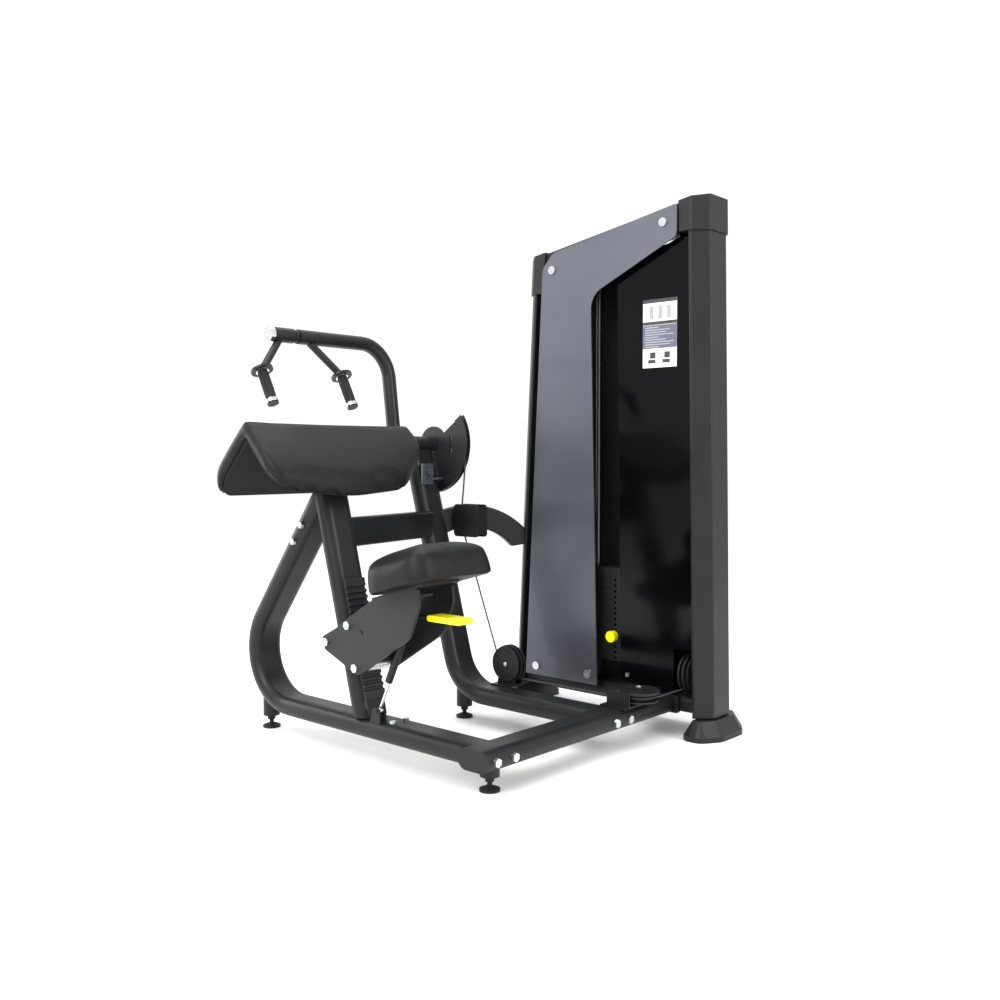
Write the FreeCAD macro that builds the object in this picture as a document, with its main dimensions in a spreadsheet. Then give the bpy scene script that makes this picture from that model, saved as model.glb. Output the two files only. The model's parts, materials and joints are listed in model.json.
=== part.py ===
import FreeCAD, Part
import math
import os
import re
from types import SimpleNamespace

import Sketcher
from FreeCAD import Placement, Rotation, Vector

# A pin-loaded arm-extension machine. Lengths are in millimetres, angles in degrees, +Z is up.
# X runs across the weight tower and Y runs from the user's side to the tower. Positions are
# measured from the front levelling foot; shift_x and shift_y carry every sub-part to the
# machine's origin, the centre of its footprint on the floor.

os.makedirs("parts", exist_ok=True)

DIMENSIONS = {
    "shift_x": 348.0, "shift_y": -304.5,
    # flat oval base tubes
    "tube_width": 94.0, "tube_height": 50.0, "tube_wall": 3.0, "tube_level": 80.0,
    "beam_start": -50.0, "beam_end": 694.0, "end_cap_depth": 6.0, "flange_depth": 10.8,
    "loop_bend": 145.0, "loop_bend_x": -716.0, "loop_rise": 52.5, "loop_leg": 440.0,
    "rear_y": 440.0, "rear_bend": 130.0, "rear_bend_x": -406.0, "post_lean": 15.64,
    "post_length": 618.0,
    # pad column, and its frame: u runs forward, w runs up along the column
    "column_x": -409.5, "column_foot": 105.0, "column_lean": 15.4, "column_depth": 50.0,
    "column_length": 655.0,
    # cross tube and arch tube
    "brace_height": 76.0, "brace_depth": 42.0, "cross_x": -533.0, "cross_level": 557.0,
    "cross_turn": 13.0, "cross_length": 400.0, "cross_start": 22.0, "arch_x": -640.0,
    "arch_y": 468.0, "arch_turn": 57.5, "arch_level": 553.0, "arch_crown": 100.0, "arch_crown_level": 576.0,
    "arch_reach": 261.0, "arch_end_level": 489.0,
    # levelling feet
    "foot_radius": 24.0, "foot_height": 12.0, "stem_radius": 6.0, "socket_radius": 23.0,
    "socket_bottom": 34.0, "left_foot_x": -830.0, "left_socket_top": 132.0,
    "rear_foot_x": -505.0, "rear_socket_top": 122.0,
    # tower
    "tower_y": 755.0, "upright_width": 46.0, "upright_depth": 156.0, "upright_chamfer": 37.0,
    "near_outer": 158.0, "near_lean": 1.04, "near_height": 1352.0, "far_outer": -545.0,
    "far_lean": 3.1, "far_height": 1240.0, "top_slope": 9.5, "top_x": 135.0,
    "top_level": 1446.0, "cap_margin": 4.0, "cap_width": 78.0, "top_beam_thickness": 40.0,
    "shoe_height": 52.0, "shoe_length": 220.0, "shoe_width": 98.0, "shoe_lip": 14.0,
    # covers
    "panel_thickness": 4.0, "panel_y": 670.5, "black_y": 694.0, "shroud_y": 828.0,
    "shroud_thickness": 2.0,
    # axle, cam and arm
    "axle_x": -690.0, "axle_level": 793.5, "axle_radius": 14.0, "axle_start": 318.0,
    "axle_end": 516.0, "housing_radius": 22.5, "housing_start": 386.0, "housing_end": 478.0,
    "running_gap": 0.05, "cable_plane": 498.0, "cam_plate": 8.0, "cam_rim_width": 16.0,
    "cam_outer": 147.0, "cam_cable": 139.0, "cam_hub": 53.0, "cam_floor": 130.0,
    "cam_tip_angle": 35.0, "cam_end_angle": -86.0, "cam_slot": 78.0,
    "arm_lean": 7.2, "arm_y": 340.0, "arm_height": 287.8, "arm_bend": 95.0,
    "arm_radius": 20.0, "arm_hub_radius": 22.0, "arm_hub_length": 60.0, "bar_end": 95.0,
    "spindle_radius": 13.0, "spindle_end": -62.0, "end_cap_radius": 20.5, "end_cap_length": 13.0,
    # swivel handles
    "near_sleeve_y": -28.0, "far_sleeve_y": 51.0, "sleeve_length": 62.0, "sleeve_radius": 20.0,
    "handle_forward": 46.0, "near_spread": -98.0, "far_spread": 84.0, "handle_drop": 102.0,
    "rod_radius": 10.0, "grip_lean": 28.4, "grip_radius": 14.0, "grip_length": 82.0,
    "peg_radius": 9.0, "flange_radius": 29.0, "flange_thickness": 6.0, "grip_cap_length": 14.0,
    # cable and pulleys
    "cable_radius": 2.5, "pulley_cable": 38.0, "pulley_outer": 53.0, "small_outer": 44.0,
    "pulley_width": 20.0, "groove_width": 6.8, "pin_radius": 6.0, "box_pulley_x": -536.0,
    "box_pulley_z": 567.0, "loop_pulley_x": -380.0, "cable_level": 127.0, "rise_x": 75.0,
    "top_pulley_z": 1262.0,
    # weight stack
    "stack_x": -170.0, "stack_y": 765.0, "plate_width": 240.0, "plate_depth": 96.0,
    "plate_thickness": 15.5, "plate_pitch": 16.0, "stack_bottom": 168.0, "lower_count": 4,
    "moving_count": 11, "head_thickness": 28.0, "rod_spread": 96.0, "guide_radius": 9.5,
    "guide_top": 1290.0,
    "stem_bore": 12.5, "stem_width": 11.0, "pin_shaft": 4.0, "pin_hole": 4.6,
    "bumper_radius": 22.0, "bumper_foot": 128.0, "clevis_top": 462.0, "knob_radius": 16.0,
    # seat carriage, in the column's frame
    "plate_gap": 104.0, "side_thickness": 8.0, "back_roller_radius": 11.9,
    "front_roller_radius": 14.0, "back_roller_u": -45.2, "front_roller_u": 49.4,
    "back_roller_w": 200.0, "upper_roller_w": 227.0, "lower_roller_w": 120.0,
    "lever_u": 93.0, "lever_w": 203.0, "plate_top": 271.0, "seat_plate_thickness": 6.0,
    "seat_width": 244.0, "seat_start": 190.0, "seat_depth": 218.0, "cushion_height": 82.0,
    "rail_start": 30.0, "rail_length": 325.0, "rail_width": 64.0, "back_rail_width": 40.0,
    "back_rail_thickness": 8.0, "front_rail_thickness": 10.0, "tooth_pitch": 16.0,
    # gas spring
    "spring_y": -28.0, "spring_foot_x": -343.0, "spring_foot_z": 130.0, "spring_top_x": -198.0,
    "spring_top_z": 428.0, "spring_offset": 2.7, "cylinder_radius": 9.5, "cylinder_bore": 8.0,
    "cylinder_length": 232.0, "piston_radius": 3.5, "piston_length": 235.0,
    # arm pad
    "ridge_x": -575.0, "ridge_level": 845.0, "foam_thickness": 30.0, "board_thickness": 8.0,
    "pad_near": -256.0, "pad_far": 283.0, "pad_forward": 146.0, "pad_back": 148.0,
}

doc = FreeCAD.newDocument("arm_extension_machine")
sheet = doc.addObject("Spreadsheet::Sheet", "dims")
for row, (alias, value) in enumerate(DIMENSIONS.items(), start=1):
    sheet.set(f"A{row}", alias)
    sheet.set(f"B{row}", str(value))
    sheet.setAlias(f"B{row}", alias)
doc.recompute()
cell = SimpleNamespace(**{alias: float(sheet.get(alias)) for alias in DIMENSIONS})

WORD = re.compile(r"[a-z_][a-z_0-9]*")
SUBPARTS = []
LEAN = (0, 1, 0)


# ---- document helpers -------------------------------------------------------------------------

def formula(text):
    """An expression in which every alias names its cell."""
    def named(found):
        return "dims." + found[0] if found[0] in DIMENSIONS else found[0]
    return WORD.sub(named, str(text))


def add(kind, name):
    return doc.addObject(kind, name)


def bind(item, **formulas):
    for prop, text in formulas.items():
        item.setExpression(prop, formula(text))
    return item


def place(item, x=0, y=0, z=0, axis=None, angle=0):
    """Bind where an object stands, and its turn about one axis."""
    if axis is not None:
        item.Placement = Placement(Vector(), Rotation(Vector(*axis), 1))
        item.setExpression("Placement.Rotation.Angle", formula(angle))
    for letter, text in zip("xyz", (x, y, z)):
        item.setExpression(f"Placement.Base.{letter}", formula(text))
    return item


def finish(item, label, x=0, y=0, z=0, axis=None, angle=0):
    """Carry a finished sub-part into the machine's frame and list it for export."""
    place(item, f"shift_x + {x}", f"shift_y + {y}", z, axis, angle)
    item.Label = label
    SUBPARTS.append(item)
    return item


def finish_on_column(item, label, y=0):
    """Finish a sub-part that is drawn in the column's own frame."""
    return finish(item, label, "column_x", y, "column_foot", LEAN, "-column_lean")


# ---- outlines ---------------------------------------------------------------------------------

def flat(x, y):
    return Vector(x, y, 0)


def outline(points):
    """Edges of a closed outline; a point is (x, y) or (x, y, corner radius)."""
    corners = []
    count = len(points)
    for index, point in enumerate(points):
        here = flat(point[0], point[1])
        radius = point[2] if len(point) > 2 else 0
        into = (here - flat(*points[index - 1][:2])).normalize()
        out = (flat(*points[(index + 1) % count][:2]) - here).normalize()
        turn = into.getAngle(out)
        if radius == 0 or turn < 0.001:
            corners.append((here, None, here))
            continue
        reach = radius * math.tan(turn / 2)
        inward = (out - into).normalize()
        centre = here + inward * (radius / math.cos(turn / 2))
        corners.append((here - into * reach, centre - inward * radius, here + out * reach))
    edges = []
    for index, (first, middle, last) in enumerate(corners):
        if middle is not None:
            edges.append(Part.Arc(first, middle, last))
        following = corners[(index + 1) % count][0]
        if (following - last).Length > 0.01:
            edges.append(Part.LineSegment(last, following))
    return edges


def ring(radius, x=0, y=0):
    """A circle whose radius is a formula."""
    return SimpleNamespace(radius=radius, x=x, y=y)


def rectangle(x_low, x_high, y_low, y_high, corner=0):
    return outline([(x_low, y_low, corner), (x_high, y_low, corner), (x_high, y_high, corner),
                    (x_low, y_high, corner)])


def oval(width, height, y=0):
    """A flat oval, its ends round."""
    end = min(width, height) / 2 - 0.01
    return rectangle(-width / 2, width / 2, y - height / 2, y + height / 2, end)


def hollow_oval(width, height, y=0):
    wall = 2 * cell.tube_wall
    return oval(width, height, y) + oval(width - wall, height - wall, y)


def sector(inner, outer, start, end):
    """Part of a ring between two angles."""
    def at(radius, angle):
        return flat(radius * math.cos(math.radians(angle)), radius * math.sin(math.radians(angle)))
    middle = (start + end) / 2
    return [Part.Arc(at(outer, start), at(outer, middle), at(outer, end)),
            Part.LineSegment(at(outer, end), at(inner, end)),
            Part.Arc(at(inner, end), at(inner, middle), at(inner, start)),
            Part.LineSegment(at(inner, start), at(outer, start))]


# ---- features ---------------------------------------------------------------------------------

def new_sketch(body, plane, edges, name, offset=0):
    """A sketch on one of the body's own origin planes."""
    sketch = body.newObject("Sketcher::SketchObject", name)
    for feature in body.Origin.OriginFeatures:
        if feature.Role == plane + "_Plane":
            sketch.AttachmentSupport = [(feature, "")]
    sketch.MapMode = "FlatFace"
    sketch.setExpression("AttachmentOffset.Base.z", formula(offset))
    for index, edge in enumerate(edges):
        if isinstance(edge, SimpleNamespace):
            sketch.addGeometry(Part.Circle(flat(edge.x, edge.y), Vector(0, 0, 1), 10), False)
            radius = sketch.addConstraint(Sketcher.Constraint("Radius", index, 10))
            sketch.setExpression(f"Constraints[{radius}]", formula(edge.radius))
        else:
            sketch.addGeometry(edge, False)
    return sketch


def pad(body, plane, edges, length, name, offset=0):
    """Pad an outline half its length to each side of the sketch."""
    feature_sketch = new_sketch(body, plane, edges, name + "_sketch", offset)
    feature = body.newObject("PartDesign::Pad", name)
    feature.Profile = feature_sketch
    feature.Midplane = True
    return bind(feature, Length=length)


def tapered_pad(body, plane, edges, length, name, offset, angle):
    """Pad an outline away from the sketch, its sides leaning in as it rises."""
    feature = pad(body, plane, edges, length, name, offset)
    feature.Midplane = False
    feature.TaperAngle = -angle
    return feature


def pocket(body, plane, edges, length, name, offset=0):
    feature_sketch = new_sketch(body, plane, edges, name + "_sketch", offset)
    feature = body.newObject("PartDesign::Pocket", name)
    feature.Profile = feature_sketch
    feature.Midplane = True
    return bind(feature, Length=length)


def pipe(body, path_plane, path_edges, profile_plane, profile_edges, name, offset=0):
    """Sweep a profile along a path of lines and arcs."""
    path = new_sketch(body, path_plane, path_edges, name + "_path")
    profile = new_sketch(body, profile_plane, profile_edges, name + "_profile", offset)
    feature = body.newObject("PartDesign::AdditivePipe", name)
    feature.Profile = profile
    feature.Spine = (path, [f"Edge{index + 1}" for index in range(len(path_edges))])
    return feature


def revolve(name, points):
    """A turned solid about its own Z axis, from points of radius and height."""
    body = add("PartDesign::Body", name)
    sketch = new_sketch(body, "XZ", outline(points), name + "_sketch")
    feature = body.newObject("PartDesign::Revolution", name + "_turn")
    feature.Profile = sketch
    feature.ReferenceAxis = (sketch, ["V_Axis"])
    feature.Angle = 360
    return body


def plate(name, plane, edges, thickness, offset=0, holes=()):
    """A flat plate, its middle at an offset from an origin plane, with holes through it."""
    body = add("PartDesign::Body", name)
    pad(body, plane, edges, thickness, name + "_pad", offset)
    if holes:
        pocket(body, plane, list(holes), f"({thickness}) * 3", name + "_holes", offset)
    return body


TURNS = {"X": ((0, 1, 0), 90), "Y": ((1, 0, 0), -90), "Z": (None, 0)}


def cylinder(name, radius, height, x=0, y=0, z=0, along="Z"):
    item = bind(add("Part::Cylinder", name), Radius=radius, Height=height)
    return place(item, x, y, z, *TURNS[along])


def cone(name, radius_low, radius_high, height, x=0, y=0, z=0):
    item = bind(add("Part::Cone", name), Radius1=radius_low, Radius2=radius_high, Height=height)
    return place(item, x, y, z)


def box(name, length, width, height, x=0, y=0, z=0):
    """A block centred on x and y that stands on z."""
    item = bind(add("Part::Box", name), Length=length, Width=width, Height=height)
    return place(item, f"{x} - ({length}) / 2", f"{y} - ({width}) / 2", z)


def bolt(name, across, height, x, y, z, along):
    """A hexagon head, measured across its flats."""
    item = add("Part::Prism", name)
    item.Polygon = 6
    bind(item, Circumradius=f"{across} / 1.732", Height=height)
    return place(item, x, y, z, *TURNS[along])


def fuse(name, members):
    item = add("Part::MultiFuse", name)
    item.Shapes = members
    return item


def cut(name, base, tool):
    item = add("Part::Cut", name)
    item.Base = base
    item.Tool = tool
    return item


def group(name, members):
    item = add("Part::Compound", name)
    item.Links = members
    return item


def rod_between(name, radius, start, end):
    """A round bar from one point to another."""
    run = end - start
    item = bind(add("Part::Cylinder", name), Radius=radius)
    item.Height = run.Length
    item.Placement = Placement(start, Rotation(Vector(0, 0, 1), run))
    return item


def on_column(u, w):
    """A point of the column's frame, as machine X and Z."""
    lean = math.radians(cell.column_lean)
    return (cell.column_x + u * math.cos(lean) - w * math.sin(lean),
            cell.column_foot + u * math.sin(lean) + w * math.cos(lean))


def from_column(x, z):
    """The u and w of a machine point."""
    lean = math.radians(cell.column_lean)
    run, rise = x - cell.column_x, z - cell.column_foot
    return (run * math.cos(lean) + rise * math.sin(lean),
            rise * math.cos(lean) - run * math.sin(lean))


# ---- base frame -------------------------------------------------------------------------------

def loop_path(start_x, bend_x, bend, rise, leg):
    """Path in the XZ plane: level towards -X, round a bend, then straight up a slope."""
    level = cell.tube_level
    heading = math.radians(rise)
    ray = flat(math.cos(heading), math.sin(heading))
    normal = flat(-math.sin(heading), math.cos(heading))
    centre = flat(bend_x, level + bend)
    bend_end = centre + normal * bend
    swept = -math.pi / 2 - (math.pi - heading) / 2
    middle = centre + flat(math.cos(swept), math.sin(swept)) * bend
    return [Part.LineSegment(flat(start_x, level), flat(bend_x, level)),
            Part.Arc(flat(bend_x, level), middle, bend_end),
            Part.LineSegment(bend_end, bend_end + ray * leg)]


def loop_tube(name, path, y, hollow):
    body = add("PartDesign::Body", name)
    section = hollow_oval if hollow else oval
    edges = section(cell.tube_width, cell.tube_height, cell.tube_level)
    pipe(body, "XZ", path, "YZ", edges, name + "_pipe", offset=path[0].StartPoint.x)
    return place(body, 0, y, 0)


def make_socket(name, x, y, top, tube_envelope):
    """The round nut block under a tube that a levelling foot screws into."""
    block = cylinder(name, "socket_radius", f"{top} - socket_bottom", x, y, "socket_bottom")
    bore = cylinder(name + "_bore", "stem_radius + running_gap", 56, x, y, 0)
    return cut(name + "_drilled", cut(name + "_coped", block, tube_envelope), bore)


def make_beam():
    """The straight base beam under the tower end, its open end capped."""
    envelope = plate("beam_envelope", "XZ", oval(cell.tube_width, cell.tube_height),
                     "beam_end - beam_start", "-(beam_end + beam_start) / 2")
    place(envelope, 0, 0, "tube_level")
    beam = plate("beam_tube", "XZ", hollow_oval(cell.tube_width, cell.tube_height),
                 "beam_end - beam_start", "-(beam_end + beam_start) / 2")
    place(beam, 0, 0, "tube_level")
    socket = make_socket("front_socket", 0, 0, "tube_level", envelope)
    flange = plate("beam_flange", "XZ", rectangle(-58, 58, 56, 104, 8), "flange_depth",
                   "-(beam_end + flange_depth / 2)")
    finish(fuse("beam_welded", [beam, flange, socket]), "base_beam")
    cap = plate("cap_plate", "XZ", oval(cell.tube_width, cell.tube_height), "end_cap_depth",
                "-beam_start + end_cap_depth / 2")
    pad(cap, "XZ", oval(cell.tube_width - 8, cell.tube_height - 8), 16, "cap_plug",
        "-beam_start - 8")
    finish(cap, "beam_end_cap", z="tube_level")
    return envelope


def make_loops(beam_envelope, column_envelope, housing_envelope):
    """Two bent tubes run out sideways from the beam; each rises into the upper frame."""
    front_path = loop_path(-20, cell.loop_bend_x, cell.loop_bend, cell.loop_rise, cell.loop_leg)
    rear_path = loop_path(-20, cell.rear_bend_x, cell.rear_bend, 90 + cell.post_lean,
                          cell.post_length)
    front_envelope = loop_tube("front_envelope", front_path, 0, False)
    socket = make_socket("left_socket", "left_foot_x", 0, "left_socket_top", front_envelope)
    tube = cut("front_opened", loop_tube("front_tube", front_path, 0, True),
               fuse("front_cutters", [beam_envelope, column_envelope]))
    finish(fuse("front_welded", [tube, socket]), "front_loop")
    rear_envelope = loop_tube("rear_envelope", rear_path, "rear_y", False)
    socket = make_socket("rear_socket", "rear_foot_x", "rear_y", "rear_socket_top",
                         rear_envelope)
    tube = cut("rear_opened", loop_tube("rear_tube", rear_path, "rear_y", True),
               fuse("rear_cutters", [beam_envelope, housing_envelope]))
    finish(fuse("rear_welded", [tube, socket]), "rear_loop")
    return front_envelope, rear_envelope


def column_shape(name, section, room=0.0):
    """The column's section along its lean, cut level where it stands on the loop."""
    body = add("PartDesign::Body", name)
    edges = section(cell.column_depth + room, cell.tube_width + room)
    pad(body, "XY", edges, "column_length + 30",
        name + "_pad", "column_length / 2 - 15")
    place(body, "column_x", 0, "column_foot", LEAN, "-column_lean")
    floor = box(name + "_floor", 400, 200, "column_foot", "column_x", 0, 0)
    return cut(name + "_trimmed", body, floor)


def make_column(pad_bracket):
    """The leaning column stands on the front loop, cut level at its foot, under the pad."""
    tube = column_shape("column_tube", hollow_oval)
    finish(fuse("column_welded", [tube, pad_bracket]), "pad_column")


def make_braces(column_envelope, rear_envelope, far_upright_envelope):
    """The cross tube ties the column to the post, and the arch ties the post to the tower."""
    half_height = cell.brace_height / 2
    half_depth = cell.brace_depth / 2
    wall = cell.tube_wall
    outer = rectangle(-half_depth, half_depth, -half_height, half_height, 8)
    inner = rectangle(wall - half_depth, half_depth - wall, wall - half_height,
                      half_height - wall, 5)
    cross = plate("cross_hollow", "XZ", outer + inner, "cross_length",
                  "-(cross_length / 2 + cross_start)")
    place(cross, "cross_x", 0, "cross_level", (0, 0, 1), "cross_turn")
    cope = fuse("cross_cope", [column_envelope, rear_envelope])
    finish(cut("cross_coped", cross, cope), "cross_tube")
    path = [Part.Arc(flat(0, cell.arch_level), flat(cell.arch_crown, cell.arch_crown_level),
                     flat(cell.arch_reach, cell.arch_end_level))]
    arches = []
    for name, hole in (("arch_hollow", True), ("arch_envelope", False)):
        body = add("PartDesign::Body", name)
        level = cell.arch_level
        edges = rectangle(-half_depth, half_depth, level - half_height, level + half_height, 8)
        if hole:
            edges += rectangle(wall - half_depth, half_depth - wall, level + wall - half_height,
                               level + half_height - wall, 5)
        pipe(body, "XZ", path, "YZ", edges, name + "_pipe")
        arches.append(place(body, "arch_x", "arch_y", 0, (0, 0, 1), "arch_turn"))
    beyond = box("arch_stop", 80, 120, 140, "far_outer + upright_width + 59", 700, 440)
    cope = fuse("arch_cope", [rear_envelope, far_upright_envelope, beyond])
    finish(cut("arch_coped", arches[0], cope), "arch_tube")
    return arches[1]


def make_feet():
    feet = []
    spots = (("front", 0, 0), ("left", "left_foot_x", 0), ("rear", "rear_foot_x", "rear_y"))
    for name, x, y in spots:
        pad_disc = cylinder(name + "_pad", "foot_radius", "foot_height / 2", x, y, 0)
        pad_cone = cone(name + "_cone", "foot_radius", "stem_radius + 3", "foot_height / 2", x, y,
                        "foot_height / 2")
        stem = cylinder(name + "_stem", "stem_radius", "54 - foot_height", x, y, "foot_height")
        nut = bolt(name + "_nut", 19, 8, x, y, "socket_bottom - 12", "Z")
        feet.append(fuse(name + "_foot", [pad_disc, pad_cone, stem, nut]))
    finish(group("feet", feet), "levelling_feet")


# ---- tower ------------------------------------------------------------------------------------

def upright_outline(mirror, margin=0.0):
    """Section of an upright, its outer corners cut away; outwards is +x, or -x if mirrored."""
    width = cell.upright_width + margin
    half = cell.upright_depth / 2 + margin
    chamfer = cell.upright_chamfer
    points = [(-margin, -half, 4), (width - chamfer, -half, 6), (width, chamfer - half, 6),
              (width, half - chamfer, 6), (width - chamfer, half, 6), (-margin, half, 4)]
    if mirror:
        points = [(-x, y, corner) for x, y, corner in reversed(points)]
    return points


def upright_shape(name, mirror, length, hollow, start=0):
    body = add("PartDesign::Body", name)
    points = upright_outline(mirror)
    edges = outline(points)
    if hollow:
        edges += outline([point[:2] for point in upright_outline(mirror, -cell.tube_wall)])
    pad(body, "XY", edges, f"{length} - ({start})", name + "_pad", f"({length} + {start}) / 2")
    return body


def tower_side(side):
    """Side sign, foot of the inner face and lean of one side of the tower."""
    if side == "near":
        return "near_outer - upright_width", "-near_lean", "near_height"
    return "far_outer + upright_width", "far_lean", "far_height"


def make_uprights():
    envelopes = {}
    for side in ("near", "far"):
        foot_x, lean, height = tower_side(side)
        mirror = side == "far"
        envelope = upright_shape(side + "_envelope", mirror, height, False)
        place(envelope, foot_x, "tower_y", 0, LEAN, lean)
        tube = upright_shape(side + "_tube", mirror, height, True, "shoe_height + 3")
        finish(tube, side + "_upright", foot_x, "tower_y", 0, LEAN, lean)
        envelopes[side] = envelope
    return envelopes


def make_sky():
    """Everything above the tower's sloping top line, and above the underside of its beam."""
    tools = []
    for name, drop in (("sky", 0), ("beam_sky", "top_beam_thickness + 4")):
        block = add("Part::Box", name)
        bind(block, Length=1600, Width=500, Height=400)
        top = math.radians(cell.top_slope)
        place(block, f"top_x - {1200 * math.cos(top)} + ({drop}) * {math.sin(top)}",
              "tower_y - 250",
              f"top_level - {1200 * math.sin(top)} - ({drop}) * {math.cos(top)}",
              LEAN, "-top_slope")
        tools.append(block)
    return tools


def make_tower_top(envelopes, sky):
    """A moulded cap on each upright, and the sloped beam between the caps."""
    caps = []
    for side in ("near", "far"):
        foot_x, lean, height = tower_side(side)
        mirror = side == "far"
        body = add("PartDesign::Body", side + "_cap_body")
        points = upright_outline(mirror, cell.cap_margin)
        inner = cell.upright_width + cell.cap_margin - cell.cap_width
        inner = -inner if mirror else inner
        points[-1 if mirror else 0] = (inner, points[-1 if mirror else 0][1], 4)
        points[0 if mirror else -1] = (inner, points[0 if mirror else -1][1], 4)
        pad(body, "XY", outline(points), 190, side + "_cap_pad", f"{height} + 95")
        place(body, foot_x, "tower_y", 0, LEAN, lean)
        caps.append(cut(side + "_cap", body, sky))
    finish(group("caps", caps), "tower_caps")
    block = add("Part::Box", "top_block")
    top = math.radians(cell.top_slope)
    bind(block, Length=528, Width="upright_depth - 8", Height="top_beam_thickness")
    drop = "(top_beam_thickness + 4)"
    place(block, f"top_x - {568 * math.cos(top)} + {drop} * {math.sin(top)}",
          "tower_y - (upright_depth - 8) / 2",
          f"top_level - {568 * math.sin(top)} - {drop} * {math.cos(top)}", LEAN, "-top_slope")
    trimmed = cut("top_beam_trimmed", block, fuse("cap_cutters", caps + list(envelopes.values())))
    finish(trimmed, "top_beam")


def make_tower_base(envelopes):
    """A cross tube joins the uprights at floor level; each upright stands on a flared shoe."""
    tube = plate("tower_base_tube", "YZ", hollow_oval(100, cell.tube_height),
                 "near_outer - far_outer - 40", "(near_outer + far_outer) / 2")
    place(tube, 0, "tower_y", "tube_level")
    finish(cut("tower_base_coped", tube, fuse("upright_cutters", list(envelopes.values()))),
           "tower_base")
    shoes = []
    for side in ("near", "far"):
        foot_x = tower_side(side)[0]
        mirror = side == "far"
        half = cell.shoe_length / 2
        width = cell.shoe_width
        inner = -20
        points = [(inner, -half, 30), (width - 55, -half, 30), (width + inner, 56 - half, 40),
                  (width + inner, half - 56, 40), (width - 55, half, 30), (inner, half, 30)]
        if mirror:
            points = [(-x, y, corner) for x, y, corner in reversed(points)]
        body = plate(side + "_shoe", "XY", outline(points), "shoe_lip", "shoe_lip / 2")
        tapered_pad(body, "XY", outline(points), "shoe_height - shoe_lip", side + "_shoe_skirt",
                    "shoe_lip", 32)
        place(body, foot_x, "tower_y", 0)
        shoes.append(body)
    finish(group("shoes", shoes), "tower_shoes")


def make_covers():
    """Grey front panel in the shape of a 7, a gloss black panel beside it and a rear shroud."""
    grey = [(-466, 99, 4), (-199, 99, 4), (-226, 1212, 60), (58, 1341, 20), (58, 1426, 6),
            (-363, 1350, 40), (-403, 1309, 40)]
    holes = [ring(5, 16, 1382), ring(5, -366, 1300), ring(5, -424, 127), ring(5, -231, 129)]
    panel = plate("grey_plate", "XZ", outline(grey), "panel_thickness", "-panel_y", holes)
    finish(panel, "front_panel")
    black = [(-131, 108, 3), (44, 108, 3), (44, 234, 3), (104, 234, 3), (84, 1338, 3),
             (50, 1342, 3), (-149, 1262, 3)]
    panel = plate("black_plate", "XZ", outline(black), "panel_thickness", "-black_y",
                  [ring(4, -107, 140)])
    finish(panel, "dark_panel")
    back = [(-486, 62), (106, 62), (84, 1342), (50, 1346), (50, 1384), (-396, 1302),
            (-396, 1230), (-426, 1226)]
    finish(plate("back_plate", "XZ", outline(back), "shroud_thickness", "-shroud_y"), "rear_shroud")


# ---- bearing, axle, cam and arm ---------------------------------------------------------------

def make_axle():
    """The post carries a bearing housing; the axle turns in it with the cam and the arm."""
    tube = cylinder("housing_tube", "housing_radius", "housing_end - housing_start", "axle_x",
                    "housing_start", "axle_level", "Y")
    bore = cylinder("housing_bore", "axle_radius + running_gap", 300, "axle_x",
                    "housing_start - 50", "axle_level", "Y")
    finish(cut("housing_bored", tube, bore), "bearing_housing")
    shaft = cylinder("shaft", "axle_radius", "axle_end - axle_start", "axle_x", "axle_start",
                     "axle_level", "Y")
    end = bolt("shaft_bolt", 19, 8, "axle_x", "axle_end", "axle_level", "Y")
    finish(fuse("shaft_and_bolt", [shaft, end]), "axle_shaft")


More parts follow.
